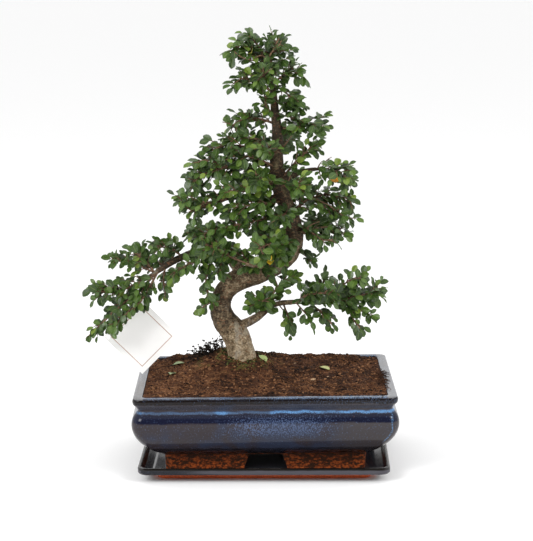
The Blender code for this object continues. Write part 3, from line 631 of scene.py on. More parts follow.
def add_room():
    world = bpy.data.worlds.new("pale_room")
    bpy.context.scene.world = world
    air = Finish(world, "Background")
    parts = air.node("SeparateXYZ", None, {0: air.node("TexCoord").outputs["Generated"]}).outputs
    ahead, above = air.number(parts[1]), air.number(parts[2])
    behind_camera = air.rise(ahead, -0.25, -0.65) * air.rise(above, 0.80, 0.50)
    air.set(Color=(1.0, 1.0, 1.0, 1.0), Strength=ROOM_LIGHT * (1.0 - behind_camera * 0.85))
    bpy.context.scene.view_settings.view_transform = "Standard"


add_floor()
add_room()
add_lamp("left_softbox", (-1.4, -1.5, 1.3), 0.9, 30.0)
add_lamp("right_softbox", (1.5, -1.3, 1.3), 0.8, 22.0)

# %% [markdown]
# ## Soil
# Peat is a felt of brown fibres with crumbs in it. Its finish sums noise at three sizes into one tone,
# lighter to the left as painted light from that side, and a ramp turns the tone into browns. Every small
# thing on the soil uses the same finish with browns of its own, and with its tint spread over the ramp
# where copies should differ.

# %% Peat finish
def peat_finish(name, dark, mid, light, spread=0.0, moss=0.0):
    peat = new_finish(name)
    vector, (x, _, z) = peat.place()
    grain = peat.noise(vector, 380.0, 6.0, 0.7)
    patches = peat.noise(vector, 45.0, 2.0)
    clots = peat.noise(vector, 150.0, 4.0, 0.65)
    # Painted light: the tone is raised towards the left, the side the light comes from.
    left = peat.rise(x, 0.03, -0.11) * 0.06
    tone = grain * 0.62 + clots * 0.50 + patches * 0.50 + left - 0.30
    tinted = tone + (peat.own("tint") - 0.5) * spread
    brown = peat.ramp(tinted, [(0.37, dark), (0.55, mid), (0.82, light)])
    mossy = peat.rise(peat.noise(vector, 90.0, 3.0), 0.52, 0.66) * peat.rise(z, 0.1005, 0.1120) * moss
    peat.set(Base_Color=peat.mix(brown, (0.060, 0.075, 0.016), mossy), Roughness=0.95,
             Specular_IOR_Level=0.2)
    peat.bump(grain, 0.0008, 0.7)
    return peat


peat = peat_finish("peat_soil", (0.009, 0.004, 0.002), (0.064, 0.024, 0.010), (0.200, 0.088, 0.038),
                   moss=0.75)
crumbly = peat_finish("peat_crumbs", (0.007, 0.003, 0.002), (0.070, 0.027, 0.011),
                      (0.260, 0.125, 0.058), spread=0.9)

# %% [markdown]
# The ground rises in a mound to the foot of the trunk. Peat is also heaped along the back, where it hides
# the far rim, and round the dry clump left of the trunk. These heights are one function of x and y, so
# everything that lies on the soil can ask it where to lie.

# %% Height of the soil
SOIL_HALF_X = POT_LENGTH / 2 - 0.0117
SOIL_HALF_Y = POT_DEPTH / 2 - 0.0117
SOIL_EDGE_Z = 0.0965
SOIL_FRONT_RISE = 0.0015
MOUND_HEIGHT = 0.021
MOUND_CENTRE = (-0.032, 0.036)
MOUND_SPREAD = (0.052, 0.042)
BACK_HEAP = 0.0042
CLUMP_FOOT = (-0.050, 0.050)
CLUMP_HEAP = 0.0055
CLUMP_SPREAD = 0.016


def soil_height(x, y):
    """The even height of the soil, mounded round the foot of the trunk."""
    dx = (x - MOUND_CENTRE[0]) / MOUND_SPREAD[0]
    dy = (y - MOUND_CENTRE[1]) / MOUND_SPREAD[1]
    front_rise = SOIL_FRONT_RISE * max(0.0, -y / (POT_DEPTH / 2))
    return SOIL_EDGE_Z + front_rise + MOUND_HEIGHT * math.exp(-dx * dx - dy * dy)


def rough_soil(x, y):
    """The height with its lumps and grains, and with what is heaped up behind and beside the trunk."""
    place = Vector((x, y, 0.0))
    lumps = noise.noise(place * 70.0) * 0.0014
    clots = noise.noise(place * 160.0 + Vector((7.0, 2.0, 0.0))) * 0.0011
    grains = noise.noise(place * 330.0) * 0.0010
    crumbs = max(0.0, noise.noise(place * 620.0 + Vector((3.0, 1.0, 0.0)))) * 0.0014
    back = min(1.0, max(0.0, (y - 0.058) / 0.026)) * min(1.0, max(0.0, (0.122 - abs(x)) / 0.016))
    heap = back * (BACK_HEAP + noise.noise(place * 45.0) * 0.0022)
    away = math.hypot(x - CLUMP_FOOT[0] + 0.004, y - CLUMP_FOOT[1]) / CLUMP_SPREAD
    mound = CLUMP_HEAP * math.exp(-away * away)
    return soil_height(x, y) + lumps + clots + grains + crumbs + heap + mound


print("soil height at the rim and at its top:", round(soil_height(0.13, 0.0), 4),
      round(soil_height(*MOUND_CENTRE), 4))

# %% [markdown]
# The ground itself is one fine grid with rounded corners. Its border is drawn down inside the pot and
# closed below. Crumbs and fibres come later as real shapes, because bump alone would look like sandpaper
# where the soil meets the bright rim.

# %% Ground
SOIL_CORNER = 0.005
SOIL_UNDER_Z = 0.0800
SOIL_STEPS = (210, 138)


def ground_mesh():
    bm = bmesh.new()
    bmesh.ops.create_grid(bm, x_segments=SOIL_STEPS[0], y_segments=SOIL_STEPS[1], size=1.0)
    for vert in bm.verts:
        x, y = vert.co.x * SOIL_HALF_X, vert.co.y * SOIL_HALF_Y
        out_x, out_y = abs(x) - SOIL_HALF_X + SOIL_CORNER, abs(y) - SOIL_HALF_Y + SOIL_CORNER
        if out_x > 0 and out_y > 0:
            pull = max(out_x, out_y) / math.hypot(out_x, out_y)
            x -= math.copysign(out_x * (1 - pull), x)
            y -= math.copysign(out_y * (1 - pull), y)
        vert.co = (x, y, rough_soil(x, y))
    border = [edge for edge in bm.edges if edge.is_boundary]
    skirt = bmesh.ops.extrude_edge_only(bm, edges=border)["geom"]
    for item in skirt:
        if isinstance(item, bmesh.types.BMVert):
            item.co.z = SOIL_UNDER_Z
    below = [edge for edge in bm.edges if edge.is_boundary]
    bmesh.ops.edgeloop_fill(bm, edges=below)
    return bm


piece("peat_ground", ground_mesh(), [peat], ["soil"])

# %% [markdown]
# ## Copies
# Crumbs, leaves and tufts are one small mesh each, copied many times. A particle system would be the
# quick way, but its copies aren't real mesh, so `add_copy` pours the small mesh into one growing bmesh
# and gives the copy its own tint, a number from 0 to 1 that the finish reads back.

# %% Add a copy
def growing_mesh():
    bm = bmesh.new()
    bm.verts.layers.float.new("tint")
    bm.loops.layers.uv.new("UVMap")
    return bm


def add_copy(bm, template, matrix, tint):
    """Adds the template's mesh to bm, placed by the matrix, and tints it."""
    first = len(bm.verts)
    bm.from_mesh(template)
    bm.verts.ensure_lookup_table()
    fresh = bm.verts[first:]
    bmesh.ops.transform(bm, matrix=matrix, verts=fresh)
    layer = bm.verts.layers.float["tint"]
    for vert in fresh:
        vert[layer] = tint


def turned(place, spin, tilt, size):
    """A matrix for a copy: a place, a turn about z, a lean and three sizes."""
    return (Matrix.Translation(place) @ Matrix.Rotation(spin, 4, "Z") @ Matrix.Rotation(tilt, 4, "X")
            @ Matrix.Diagonal((*size, 1.0)))


# %% [markdown]
# A crumb is a small sphere of 20 faces with its vertices pulled about. Small ones are far more common
# than large ones, so the size grows with a power of the draw.

# %% Crumbs
CRUMBS = 3400
FULL_TURN = 2 * math.pi


def crumb_template():
    bm = growing_mesh()
    bmesh.ops.create_icosphere(bm, subdivisions=1, radius=1.0)
    draw = random.Random(5)
    for vert in bm.verts:
        vert.co *= draw.uniform(0.7, 1.15)
    mesh = bpy.data.meshes.new("crumb")
    bm.to_mesh(mesh)
    bm.free()
    return mesh


def crumbs_mesh():
    draw = random.Random(21)
    bm = growing_mesh()
    for _ in range(CRUMBS):
        x = draw.uniform(-1, 1) * (SOIL_HALF_X - 0.002)
        y = draw.uniform(-1, 1) * (SOIL_HALF_Y - 0.002)
        size = 0.00045 + 0.0011 * draw.random() ** 2.6
        shape = (size * draw.uniform(0.8, 1.6), size, size * draw.uniform(0.6, 0.9))
        place = (x, y, rough_soil(x, y) + size * 0.2)
        matrix = turned(place, draw.uniform(0, 6.28), draw.uniform(-0.6, 0.6), shape)
        add_copy(bm, crumb, matrix, draw.random())
    return bm


crumb = crumb_template()
piece("peat_crumbs", crumbs_mesh(), [crumbly], smooth=False)

# %% [markdown]
# ## Strands
# Peat fibres, twigs and the dry clump are all thin bent rods. A curve with a bevel is Blender's own way
# to draw a rod: each spline is one rod, each point has its thickness, and one conversion turns hundreds
# of them into mesh.

# %% Rods from a curve
def rods_mesh(rods, resolution):
    """A bmesh of closed rods, each a list of points with a radius as fourth number."""
    curve = bpy.data.curves.new("rods", "CURVE")
    curve.dimensions = "3D"
    curve.bevel_depth = 1.0
    curve.bevel_resolution = resolution
    curve.use_fill_caps = True
    for rod in rods:
        spline = curve.splines.new("POLY")
        spline.points.add(len(rod) - 1)
        for point, row in zip(spline.points, rod):
            point.co = (row[0], row[1], row[2], 1.0)
            point.radius = row[3]
    guide = bpy.data.objects.new("rods", curve)
    bpy.context.scene.collection.objects.link(guide)
    bm = settled(guide)
    bpy.data.curves.remove(curve)
    bmesh.ops.remove_doubles(bm, verts=bm.verts, dist=1e-6)
    return bm


def growing_rods(rods, resolution):
    """The rods as a growing mesh, for copies to be added to."""
    wood = rods_mesh(rods, resolution)
    skin = bpy.data.meshes.new("rods")
    wood.to_mesh(skin)
    wood.free()
    bm = growing_mesh()
    bm.from_mesh(skin)
    bpy.data.meshes.remove(skin)
    return bm


# %% [markdown]
# Fibres lie flat on the soil, each bent one way, its middle lifted a little. Half are dark and half are
# straw-coloured.

# %% Fibres on the soil
FIBRES = 850
FIBRE_RADII = (0.00012, 0.00034)


def fibre(draw, x, y, reach, lift):
    turn = draw.uniform(0, FULL_TURN)
    bend = draw.uniform(-0.9, 0.9)
    rod = []
    for step in range(5):
        share = step / 4
        angle = turn + bend * (share - 0.5)
        px = x + math.cos(angle) * reach * (share - 0.5)
        py = y + math.sin(angle) * reach * (share - 0.5)
        px = max(-SOIL_HALF_X, min(SOIL_HALF_X, px))
        py = max(-SOIL_HALF_Y, min(SOIL_HALF_Y, py))
        height = rough_soil(px, py) + lift * math.sin(math.pi * share) + 0.0001
        rod.append((px, py, height, draw.uniform(*FIBRE_RADII)))
    return rod


def fibres_mesh(seed):
    draw = random.Random(seed)
    rods = []
    for _ in range(FIBRES):
        x = draw.uniform(-1, 1) * (SOIL_HALF_X - 0.003)
        y = draw.uniform(-1, 1) * (SOIL_HALF_Y - 0.003)
        rods.append(fibre(draw, x, y, draw.uniform(0.003, 0.011), draw.uniform(0.0, 0.0014)))
    return rods_mesh(rods, 0)


dark_fibre = peat_finish("dark_fibres", (0.010, 0.005, 0.003), (0.050, 0.020, 0.009),
                         (0.120, 0.055, 0.026))
pale_fibre = peat_finish("pale_fibres", (0.090, 0.036, 0.015), (0.220, 0.098, 0.042),
                         (0.400, 0.215, 0.110))
piece("peat_fibres_dark", fibres_mesh(33), [dark_fibre])
piece("peat_fibres_pale", fibres_mesh(34), [pale_fibre])

# %% [markdown]
# ## Bark
# Old zelkova bark is grey-beige and flakes in small plates with rusty spots under them, darker and
# smoother higher up. Plates lie across the wood and grey patches run along it, and the trunk mostly
# climbs, so squeezing or stretching the noise along z gives both. Height and x then shade the wood
# where the leaves keep it dark.

# %% Bark finish
def bark_finish():
    bark = new_finish("bark")
    vector, (x, _, z) = bark.place()
    specks = bark.noise(bark.stretched(vector, (1.0, 1.0, 1.3)), 420.0, 4.0, 0.7)
    flakes = bark.noise(bark.stretched(vector, (1.0, 1.0, 1.4)), 150.0, 4.0, 0.6)
    patches = bark.noise(bark.stretched(vector, (1.0, 1.0, 0.45)), 75.0, 3.0)
    shade = (bark.rise(z, 0.125, 0.165) * 0.16 - bark.rise(z, 0.172, 0.205) * 0.06
             + (bark.rise(z, 0.230, 0.280) + bark.rise(x, -0.050, -0.080)).at_most(1.0) * 0.15)
    tone = specks * 0.80 + flakes * 0.55 + patches * 0.36 - shade - 0.32
    colour = bark.ramp(tone, [(0.28, (0.034, 0.023, 0.013)), (0.42, (0.130, 0.092, 0.052)),
                              (0.54, (0.300, 0.225, 0.135)), (0.70, (0.540, 0.450, 0.320))])
    grey = bark.rise(patches, 0.53, 0.63) * bark.rise(z, 0.260, 0.200)
    greyed = bark.mix(colour, (0.340, 0.325, 0.285), grey * (0.15 + specks * 0.5))
    rust = bark.rise(bark.noise(bark.stretched(vector, (1.0, 1.0, 2.0)), 260.0, 2.0), 0.58, 0.68)
    rusty = bark.mix(greyed, (0.240, 0.095, 0.045), rust * 0.50)
    mossy = (bark.rise(patches + flakes * 0.3, 0.70, 0.86) * 0.30
             + bark.rise(z + patches * 0.012, 0.117, 0.109) * 0.55)
    bark.set(Base_Color=bark.mix(rusty, (0.085, 0.085, 0.030), mossy), Roughness=0.80,
             Specular_IOR_Level=0.3)
    bark.bump(flakes * 0.8 + specks * 0.5, 0.0012, 0.7)
    return bark


# %% [markdown]
# ## Trunk and limbs
# The wood bends twice and carries six main limbs. A skin of curves would show a seam wherever a limb
# leaves the trunk, so the rods are remeshed together into one skin, which rounds the forks as growth
# does. Both are given as points in millimetres with a radius.

# %% Trunk and limb points
TRUNK = [
    (-26, 30, 100, 15.5), (-26, 30, 117, 15.5), (-30, 30, 131, 15.8), (-37, 29, 146, 15.2),
    (-46, 28, 158, 14.4), (-50, 28, 169, 13.2), (-49, 28, 181, 11.6), (-43, 29, 194, 12.0),
    (-28, 30, 205, 13.4), (-2, 31, 213, 12.6), (20, 32, 225, 11.6), (34, 33, 242, 10.8),
    (36, 33, 259, 10.2), (31, 33, 280, 9.8), (22, 33, 302, 9.4), (17, 32, 325, 8.8),
    (16, 31, 346, 7.8), (17, 30, 370, 6.6), (14, 29, 402, 4.6), (12, 28, 428, 3.6),
    (9, 27, 450, 2.6), (11, 27, 463, 1.9),
]
LIMBS = {
    "left": [(-24, 30, 209, 8.0), (-40, 28, 234, 6.4), (-64, 24, 241, 5.2), (-93, 18, 234, 4.4),
             (-112, 12, 225, 3.6), (-131, 8, 213, 2.6), (-146, 3, 206, 1.9)],
    "low_right": [(-34, 29, 148, 6.4), (-16, 28, 156, 4.8), (-2, 24, 166, 4.0), (13, 20, 177, 3.4),
                  (36, 15, 181, 2.9), (64, 12, 180, 2.3), (80, 11, 183, 1.8)],
    "mid_right": [(20, 33, 315, 4.8), (37, 28, 327, 3.6), (56, 22, 333, 2.5), (68, 20, 333, 1.8)],
    "upper_left": [(24, 32, 296, 4.8), (-9, 22, 303, 3.4), (-36, 14, 302, 2.5), (-48, 11, 300, 1.8)],
    "second_left": [(16, 31, 344, 4.0), (-6, 26, 354, 2.8), (-27, 22, 360, 2.2), (-36, 20, 361, 1.7)],
    "front": [(8, 31, 217, 5.0), (2, 12, 222, 3.6), (-16, 0, 229, 2.8), (-31, -6, 236, 2.2),
              (-39, -8, 242, 1.7)],
}

# %% [markdown]
# Noise along the normals then raises lumps and plates, finer on thin limbs, and the foot flares into its
# roots. Knots are healed cuts: a round swelling with a dent in its middle.

# %% Relief of the bark
ROOT = Vector((TRUNK[1][0], TRUNK[1][1], 0.0)) * MM
KNOTS = [  # place, radius and height in millimetres
    ((-38, 16, 176), 5.0, 2.2), ((-14, 18, 205), 4.5, 1.8), ((-31, 14, 132), 4.0, 1.4),
    ((38, 22, 250), 4.0, 1.6), ((27, 24, 296), 3.6, 1.5), ((12, 22, 340), 3.4, 1.4),
    ((-46, 38, 160), 5.0, 1.8), ((22, 42, 232), 4.5, 1.6), ((18, 24, 375), 6.0, 3.4),
]


def knot_rise(place):
    rise = 0.0
    for centre, size, height in KNOTS:
        away = (place - Vector(centre) * MM).length / (size * MM)
        if away < 2.5:
            rise += height * MM * math.exp(-away * away) * (1.0 - 0.8 * math.exp(-away * away * 5.0))
    return rise


def root_flare(place):
    if place.z > 0.150:
        return 0.0
    turn = math.atan2(place.y - ROOT.y, place.x - ROOT.x)
    lobes = 0.0014 + 0.0005 * math.cos(5 * turn + 1.0)
    return math.exp(-max(0.0, place.z - 0.112) / 0.0075) * lobes


def bark_relief(place):
    girth = 1.0 if place.z < 0.30 and abs(place.x + 0.01) < 0.07 else 0.45
    across = Vector((place.x, place.y, place.z * 1.4))
    lumps = noise.noise(place * 55.0) * 0.0011 + noise.noise(place * 120.0) * 0.0006
    flakes = abs(noise.noise(across * 230.0)) * 0.0005 + noise.noise(across * 480.0) * 0.00022
    return (lumps + flakes) * girth + root_flare(place) + knot_rise(place) * 0.7


# %% Trunk
VOXEL = 0.0011


def rod_rows(rows, steps):
    return [tuple(value * MM for value in row) for row in smooth_line(rows, steps)]


def trunk_mesh():
    rods = [rod_rows(TRUNK, 4)] + [rod_rows(rows, 4) for rows in LIMBS.values()]
    obj = loose_object("wood", rods_mesh(rods, 3))
    remesh = obj.modifiers.new("skin", "REMESH")
    remesh.mode = "VOXEL"
    remesh.voxel_size = VOXEL
    bm = settled(obj)
    for _ in range(3):
        bmesh.ops.smooth_vert(bm, verts=bm.verts, factor=0.5, use_axis_x=True, use_axis_y=True,
                              use_axis_z=True)
    bm.normal_update()
    for vert in bm.verts:
        vert.co = vert.co + vert.normal * bark_relief(vert.co)
    return bm


bark = bark_finish()
trunk = piece("bark_trunk", trunk_mesh(), [bark], ["trunk"], outwards=False)

# %% [markdown]
# ## One leaf
# A leaf of this tree is a thumbnail-sized oval, widest past its middle, round at the tip, with a short
# stalk. It is folded a little along its midrib and droops to the tip. A grid narrowed row by row to that
# outline has all of this in a few faces, and a thin wall on it makes it solid. Its map runs along and
# across the blade, so the finish can draw the midrib and veins, and each vertex of its back is marked
# `under`, so that the back can be duller. Three leaves that fold and droop differently are enough.

# %% Leaf template
LEAF_ROWS = [
    (-0.12, 0.024), (0.0, 0.04), (0.14, 0.26), (0.36, 0.45), (0.60, 0.50), (0.82, 0.38), (0.95, 0.18),
    (1.01, 0.03),
]
LEAF_ACROSS = 2
LEAF_WALL = 0.028


def leaf_template(fold, droop, wave):
    """A leaf one unit long and one wide, from its foot along +Y, its face up."""
    bm = growing_mesh()
    bmesh.ops.create_grid(bm, x_segments=LEAF_ACROSS, y_segments=len(LEAF_ROWS) - 1, size=1.0)
    under = bm.verts.layers.float.new("under")
    uv = bm.loops.layers.uv["UVMap"]
    steps = len(LEAF_ROWS) - 1
    for vert in bm.verts:
        across, row = vert.co.x, round((vert.co.y + 1.0) / 2.0 * steps)
        along, half = LEAF_ROWS[row]
        for loop in vert.link_loops:
            loop[uv].uv = (0.5 + 0.5 * across, along)
        arch = droop * along * along
        edge = abs(across) * half
        height = fold * edge - arch + wave * math.sin(along * 9.0) * edge
        vert.co = (across * half, along - 0.15 * arch, height)
    bmesh.ops.solidify(bm, geom=bm.faces[:], thickness=LEAF_WALL)
    bmesh.ops.recalc_face_normals(bm, faces=bm.faces)
    for face in bm.faces:
        if face.normal.z < -0.1:
            for vert in face.verts:
                vert[under] = 1.0
    mesh = bpy.data.meshes.new("leaf")
    bm.to_mesh(mesh)
    print("leaf template:", len(bm.faces), "faces, volume", round(bm.calc_volume(signed=True), 5))
    bm.free()
    return mesh


leaves = [leaf_template(0.22, 0.10, 0.0), leaf_template(0.12, 0.26, 0.10), leaf_template(0.34, 0.04, 0.05)]

# %% [markdown]
# ## Leaf finish
# The blade is a glossy mid green with a paler midrib, and its back is dull and grey-green. Each leaf's
# tint picks its age: most are dark, some fresh, and the top of the ramp is kept for leaves that have
# turned yellow or orange.

# %% Leaf colours
def leaf_finish(name, stops):
    green = new_finish(name)
    tint = green.own("tint")
    under = green.own("under")
    parts = green.node("SeparateXYZ", None, {0: green.node("UVMap").outputs[0]}).outputs
    across = abs(green.number(parts[0]) - 0.5) * 2.0
    along = green.number(parts[1])
    vector, _ = green.place()
    mottle = green.noise(vector, 160.0, 2.0)
    blade = green.ramp(tint + (mottle - 0.5) * 0.08, stops)
    rib = green.rise(across, 0.10, 0.02) * green.rise(along, 1.0, 0.7)
    waves = ((along * 7.0 - across * 1.6) * 6.283).sine()
    veins = green.rise(waves, 0.80, 1.0) * green.rise(across, 1.0, 0.7)
    ribbed = green.mix(blade, (0.21, 0.30, 0.07), rib * 0.50 + veins * 0.16)
    backed = green.mix(ribbed, (0.105, 0.165, 0.060), under * 0.75)
    green.set(Base_Color=backed, Roughness=0.24 + mottle * 0.14 + under * 0.30,
              Specular_IOR_Level=0.42)
    green.bump(0.0 - rib * 0.6 - veins * 0.4 + mottle * 0.3, 0.0004, 0.5)
    return green


leaf_green = leaf_finish("leaf_green", [
    (0.00, (0.011, 0.026, 0.005)), (0.35, (0.026, 0.057, 0.009)), (0.70, (0.054, 0.108, 0.014)),
    (0.90, (0.110, 0.182, 0.026)), (0.955, (0.21, 0.27, 0.03)), (0.975, (0.60, 0.42, 0.02)),
    (1.00, (0.66, 0.26, 0.02)),
])


def twig_finish():
    twig = new_finish("twig_bark")
    vector, _ = twig.place()
    grain = twig.noise(vector, 420.0, 4.0)
    twig.set(Base_Color=twig.ramp(grain, [(0.3, (0.035, 0.018, 0.010)), (0.5, (0.115, 0.058, 0.030)),
                                          (0.72, (0.26, 0.155, 0.085))]), Roughness=0.75)
    twig.bump(grain, 0.0005, 0.6)
    return twig


twig_bark = twig_finish()

# %% [markdown]
# ## Where leaves may stand
# Leaves of a real tree don't pass through each other or through wood. Each placed blade is kept as a
# flat shape in a cell of space, and a new one is tried only against the blades near it. It turns a
# little further at each try, and is left out if no try fits.

# %% Room for leaves
CELL = 0.016
TRIES = 5
BLADE = [(-0.30, 0.22), (-0.46, 0.60), (-0.22, 0.93), (0.22, 0.93), (0.46, 0.60), (0.30, 0.22)]


class Room:
    """Flat blades sorted into cells of space."""

    def __init__(self):
        self.cells = {}

    def cells_of(self, corners):
        low = [math.floor(min(c[k] for c in corners) / CELL) for k in range(3)]
        high = [math.floor(max(c[k] for c in corners) / CELL) for k in range(3)]
        return [(i, j, k) for i in range(low[0], high[0] + 1)
                for j in range(low[1], high[1] + 1) for k in range(low[2], high[2] + 1)]

    def add_if_free(self, matrix):
        corners = [matrix @ Vector((x, y, 0.0)) for x, y in BLADE]
        tree = BVHTree.FromPolygons(corners, [tuple(range(len(corners)))])
        cells = self.cells_of(corners)
        met = {id(other): other for cell in cells for other in self.cells.get(cell, ())}
        if any(tree.overlap(other) for other in met.values()):
            return False
        for cell in cells:
            self.cells.setdefault(cell, []).append(tree)
        return True


# %% [markdown]
# A leaf also keeps to its own spray's space, out of the wood and off the card and the soil. In two places
# the photograph shows the bare trunk between the leaves, so none grows in front of it there. Those gaps
# slant, because the camera looks down.

# %% What is in the way
room = Room()
trunk_tree = BVHTree.FromPolygons([vert.co for vert in trunk.data.vertices],
                                  [tuple(face.vertices) for face in trunk.data.polygons])
card_low, card_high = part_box("hang_card")
TRUNK_GAPS = [((0.0161, 0.3502), (0.0070, 0.0105)), ((0.0204, 0.3080), (0.0095, 0.0125))]
TRUNK_FRONT = 0.030
GAP_SLANT = 0.13
WOOD_CLEARANCE = 0.0004
CARD_CLEARANCE = 0.0015
SOIL_CLEARANCE = 0.003


def in_the_way(point, space, inset):
    if any(not space[0][k] + inset[k] < point[k] < space[1][k] - inset[k] for k in range(3)):
        return True
    place, normal, _, _ = trunk_tree.find_nearest(point)
    if (point - place).dot(normal) < WOOD_CLEARANCE:
        return True
    seen_z = point.z + GAP_SLANT * (point.y - 0.010)
    for (x, z), (wide, high) in TRUNK_GAPS:
        if point.y < TRUNK_FRONT and math.hypot((point.x - x) / wide, (seen_z - z) / high) < 1.0:
            return True
    near_card = card_low.y - CARD_CLEARANCE < point.y < card_high.y + CARD_CLEARANCE
    middle = (card_low + card_high) / 2
    if near_card and abs(point.x - middle.x) + abs(point.z - middle.z) < (card_high.x - card_low.x) / 2:
        return True
    return point.z < soil_height(point.x, point.y) + SOIL_CLEARANCE


# %% [markdown]
# ## Sprays
# A spray is one leafy stem: its stem is drawn through a few given points, its twigs leave it sideways
# at the golden turn, so that none shades the next, and leaves stand left and right along each twig. The
# first twigs are those of the solids, by the same rule and the same seeds, so every spray keeps its form;
# the rest fill it, shorter inside and as long outside. A row below holds the stem's points and the radius
# of its foot, how far twigs reach sideways, up and down, all in millimetres, and how many of its twigs
# the solids have.

# %% Spray points
SPRAYS = {
    "crown_top": ([(9, 27, 450), (11, 27, 463), (17, 26, 478)], 1.8, (26, 14, 14), 3),
    "crown_high_left": ([(10, 27, 446), (-5, 23, 462), (-20, 19, 470)], 1.5, (14, 13, 13), 2),
    "crown_left": ([(12, 28, 420), (-6, 24, 432), (-25, 20, 437)], 1.6, (16, 16, 14), 3),
    "crown_right": ([(11, 28, 430), (26, 26, 440), (39, 24, 446)], 1.6, (15, 15, 16), 3),
    "crown_back": ([(11, 28, 434), (8, 44, 443), (5, 56, 447)], 1.5, (18, 14, 14), 2),
    "crown_front": ([(11, 28, 427), (4, 12, 437), (-1, -1, 441)], 1.5, (18, 15, 15), 2),
    "shoulder_right": ([(13, 29, 408), (27, 27, 410), (40, 26, 404)], 1.5, (13, 12, 11), 2),
    "upper_right": ([(16, 30, 376), (33, 26, 382), (49, 22, 386), (64, 20, 380)], 1.8, (18, 16, 16), 2),
    "second_left_high": ([(15, 30, 384), (-1, 26, 390), (-19, 22, 392), (-34, 19, 384)],
                         1.7, (16, 13, 12), 3),
    "second_left": ([(-27, 22, 360), (-44, 18, 362), (-57, 16, 356)], 1.8, (17, 14, 13), 3),
    "upper_left_high": ([(17, 32, 330), (-10, 25, 333), (-38, 19, 337), (-64, 14, 330), (-80, 12, 321)],
                        2.2, (19, 15, 14), 3),
    "upper_left": ([(-36, 14, 302), (-58, 8, 298), (-84, 4, 288)], 1.9, (19, 17, 17), 3),
    "upper_left_low": ([(33, 33, 272), (8, 17, 278), (-22, 6, 275), (-52, 1, 268), (-77, 0, 262)],
                       2.2, (18, 13, 13), 3),
    "mid_right": ([(56, 22, 333), (76, 18, 333), (97, 14, 323)], 1.8, (21, 17, 16), 3),
    "low_mid_right": ([(31, 33, 280), (48, 29, 295), (72, 27, 303), (100, 24, 298)], 2.2, (20, 14, 15), 3),
    "drooping_right": ([(36, 33, 254), (58, 28, 263), (77, 24, 266), (94, 20, 258)], 1.7, (14, 7, 15), 2),
    "centre_left": ([(-31, -6, 236), (-47, -10, 246), (-68, -14, 255)], 1.8, (18, 13, 17), 3),
    "centre_front": ([(35, 33, 244), (22, 11, 250), (8, -8, 253), (-6, -22, 250)], 2.1, (19, 14, 15), 3),
    "centre_low": ([(14, 32, 221), (20, 12, 236), (10, -2, 241)], 1.7, (19, 12, 14), 2),
    "hanging_left": ([(-56, 25, 240), (-61, 14, 229), (-66, 9, 210), (-63, 8, 192)], 1.5, (9, 9, 9), 2),
    "bulge_right": ([(34, 33, 240), (47, 25, 234), (55, 22, 227)], 1.4, (8, 6, 8), 0),
    "low_centre": ([(-1, 24, 167), (0, 12, 178), (-6, 2, 186)], 1.5, (20, 13, 13), 2),
    "low_right_tip": ([(64, 12, 180), (88, 10, 184), (112, 10, 189), (130, 12, 193)], 1.9, (20, 15, 15), 4),
    "low_right_front": ([(38, 15, 181), (48, 0, 191), (64, -10, 196), (80, -13, 196)], 1.6, (17, 13, 14), 2),
    "low_right_back": ([(46, 14, 181), (57, 32, 190), (76, 44, 195)], 1.6, (18, 14, 13), 2),
    "low_right_hang": ([(22, 18, 179), (27, 10, 166), (32, 7, 150)], 1.3, (8, 6, 6), 1),
    "low_tip_hang": ([(53, 13, 180), (66, 3, 170), (77, 0, 158)], 1.2, (7, 6, 6), 0),
    "left_tip": ([(-131, 8, 213), (-150, 2, 204), (-170, -3, 199), (-190, -5, 200)], 1.9, (19, 15, 12), 3),
    "left_shoulder": ([(-50, 26, 240), (-62, 38, 250), (-78, 44, 255)], 1.6, (17, 12, 12), 2),
    "left_up": ([(-124, 9, 218), (-136, 7, 232), (-145, 5, 243)], 1.4, (16, 13, 13), 1),
    "left_high": ([(-92, 18, 234), (-104, 15, 243), (-121, 11, 249)], 1.6, (16, 11, 10), 3),
    "left_hang": ([(-123, 9, 218), (-141, -3, 199), (-160, -9, 186), (-181, -12, 167), (-196, -13, 152)],
                  1.5, (10, 8, 8), 2),
    "left_hang_front": ([(-120, 10, 220), (-129, -4, 205), (-139, -12, 190), (-157, -15, 174),
                         (-172, -16, 160)], 1.4, (10, 9, 8), 2),
    "left_low": ([(-112, 12, 225), (-114, 3, 211), (-112, -1, 197)], 1.3, (9, 8, 8), 0),
    "left_back": ([(-114, 12, 224), (-121, 30, 226), (-136, 43, 224)], 1.5, (17, 12, 12), 2),
    "back_low": ([(27, 33, 233), (14, 62, 246), (-3, 84, 253)], 2.0, (20, 14, 14), 3),
    "back_right": ([(36, 33, 257), (56, 58, 266), (74, 70, 266)], 1.9, (19, 14, 14), 2),
    "back_mid": ([(26, 33, 292), (34, 60, 303), (42, 82, 306)], 1.9, (20, 15, 14), 2),
    "back_left": ([(19, 33, 311), (-6, 55, 318), (-30, 70, 315)], 1.9, (20, 14, 14), 2),
    "back_high": ([(16, 31, 351), (22, 53, 362), (26, 68, 365)], 1.7, (17, 14, 14), 2),
    "front_high": ([(16, 31, 349), (9, 10, 358), (3, -8, 360)], 1.7, (17, 13, 13), 2),
    "front_mid": ([(19, 33, 312), (34, 6, 318), (42, -8, 319)], 1.8, (18, 12, 13), 2),
}

# %% Twigs
GOLDEN_TURN = math.pi * (3.0 - math.sqrt(5.0))
TWIG_FIRST_SHARE = 0.30
TWIG_SHARES = 0.66


def along_path(points, share):
    """The point at a share of a path's spans, and the direction there."""
    place = share * (len(points) - 1)
    index = min(int(place), len(points) - 2)
    start, end = points[index], points[index + 1]
    return start.lerp(end, place - index), (end - start).normalized()


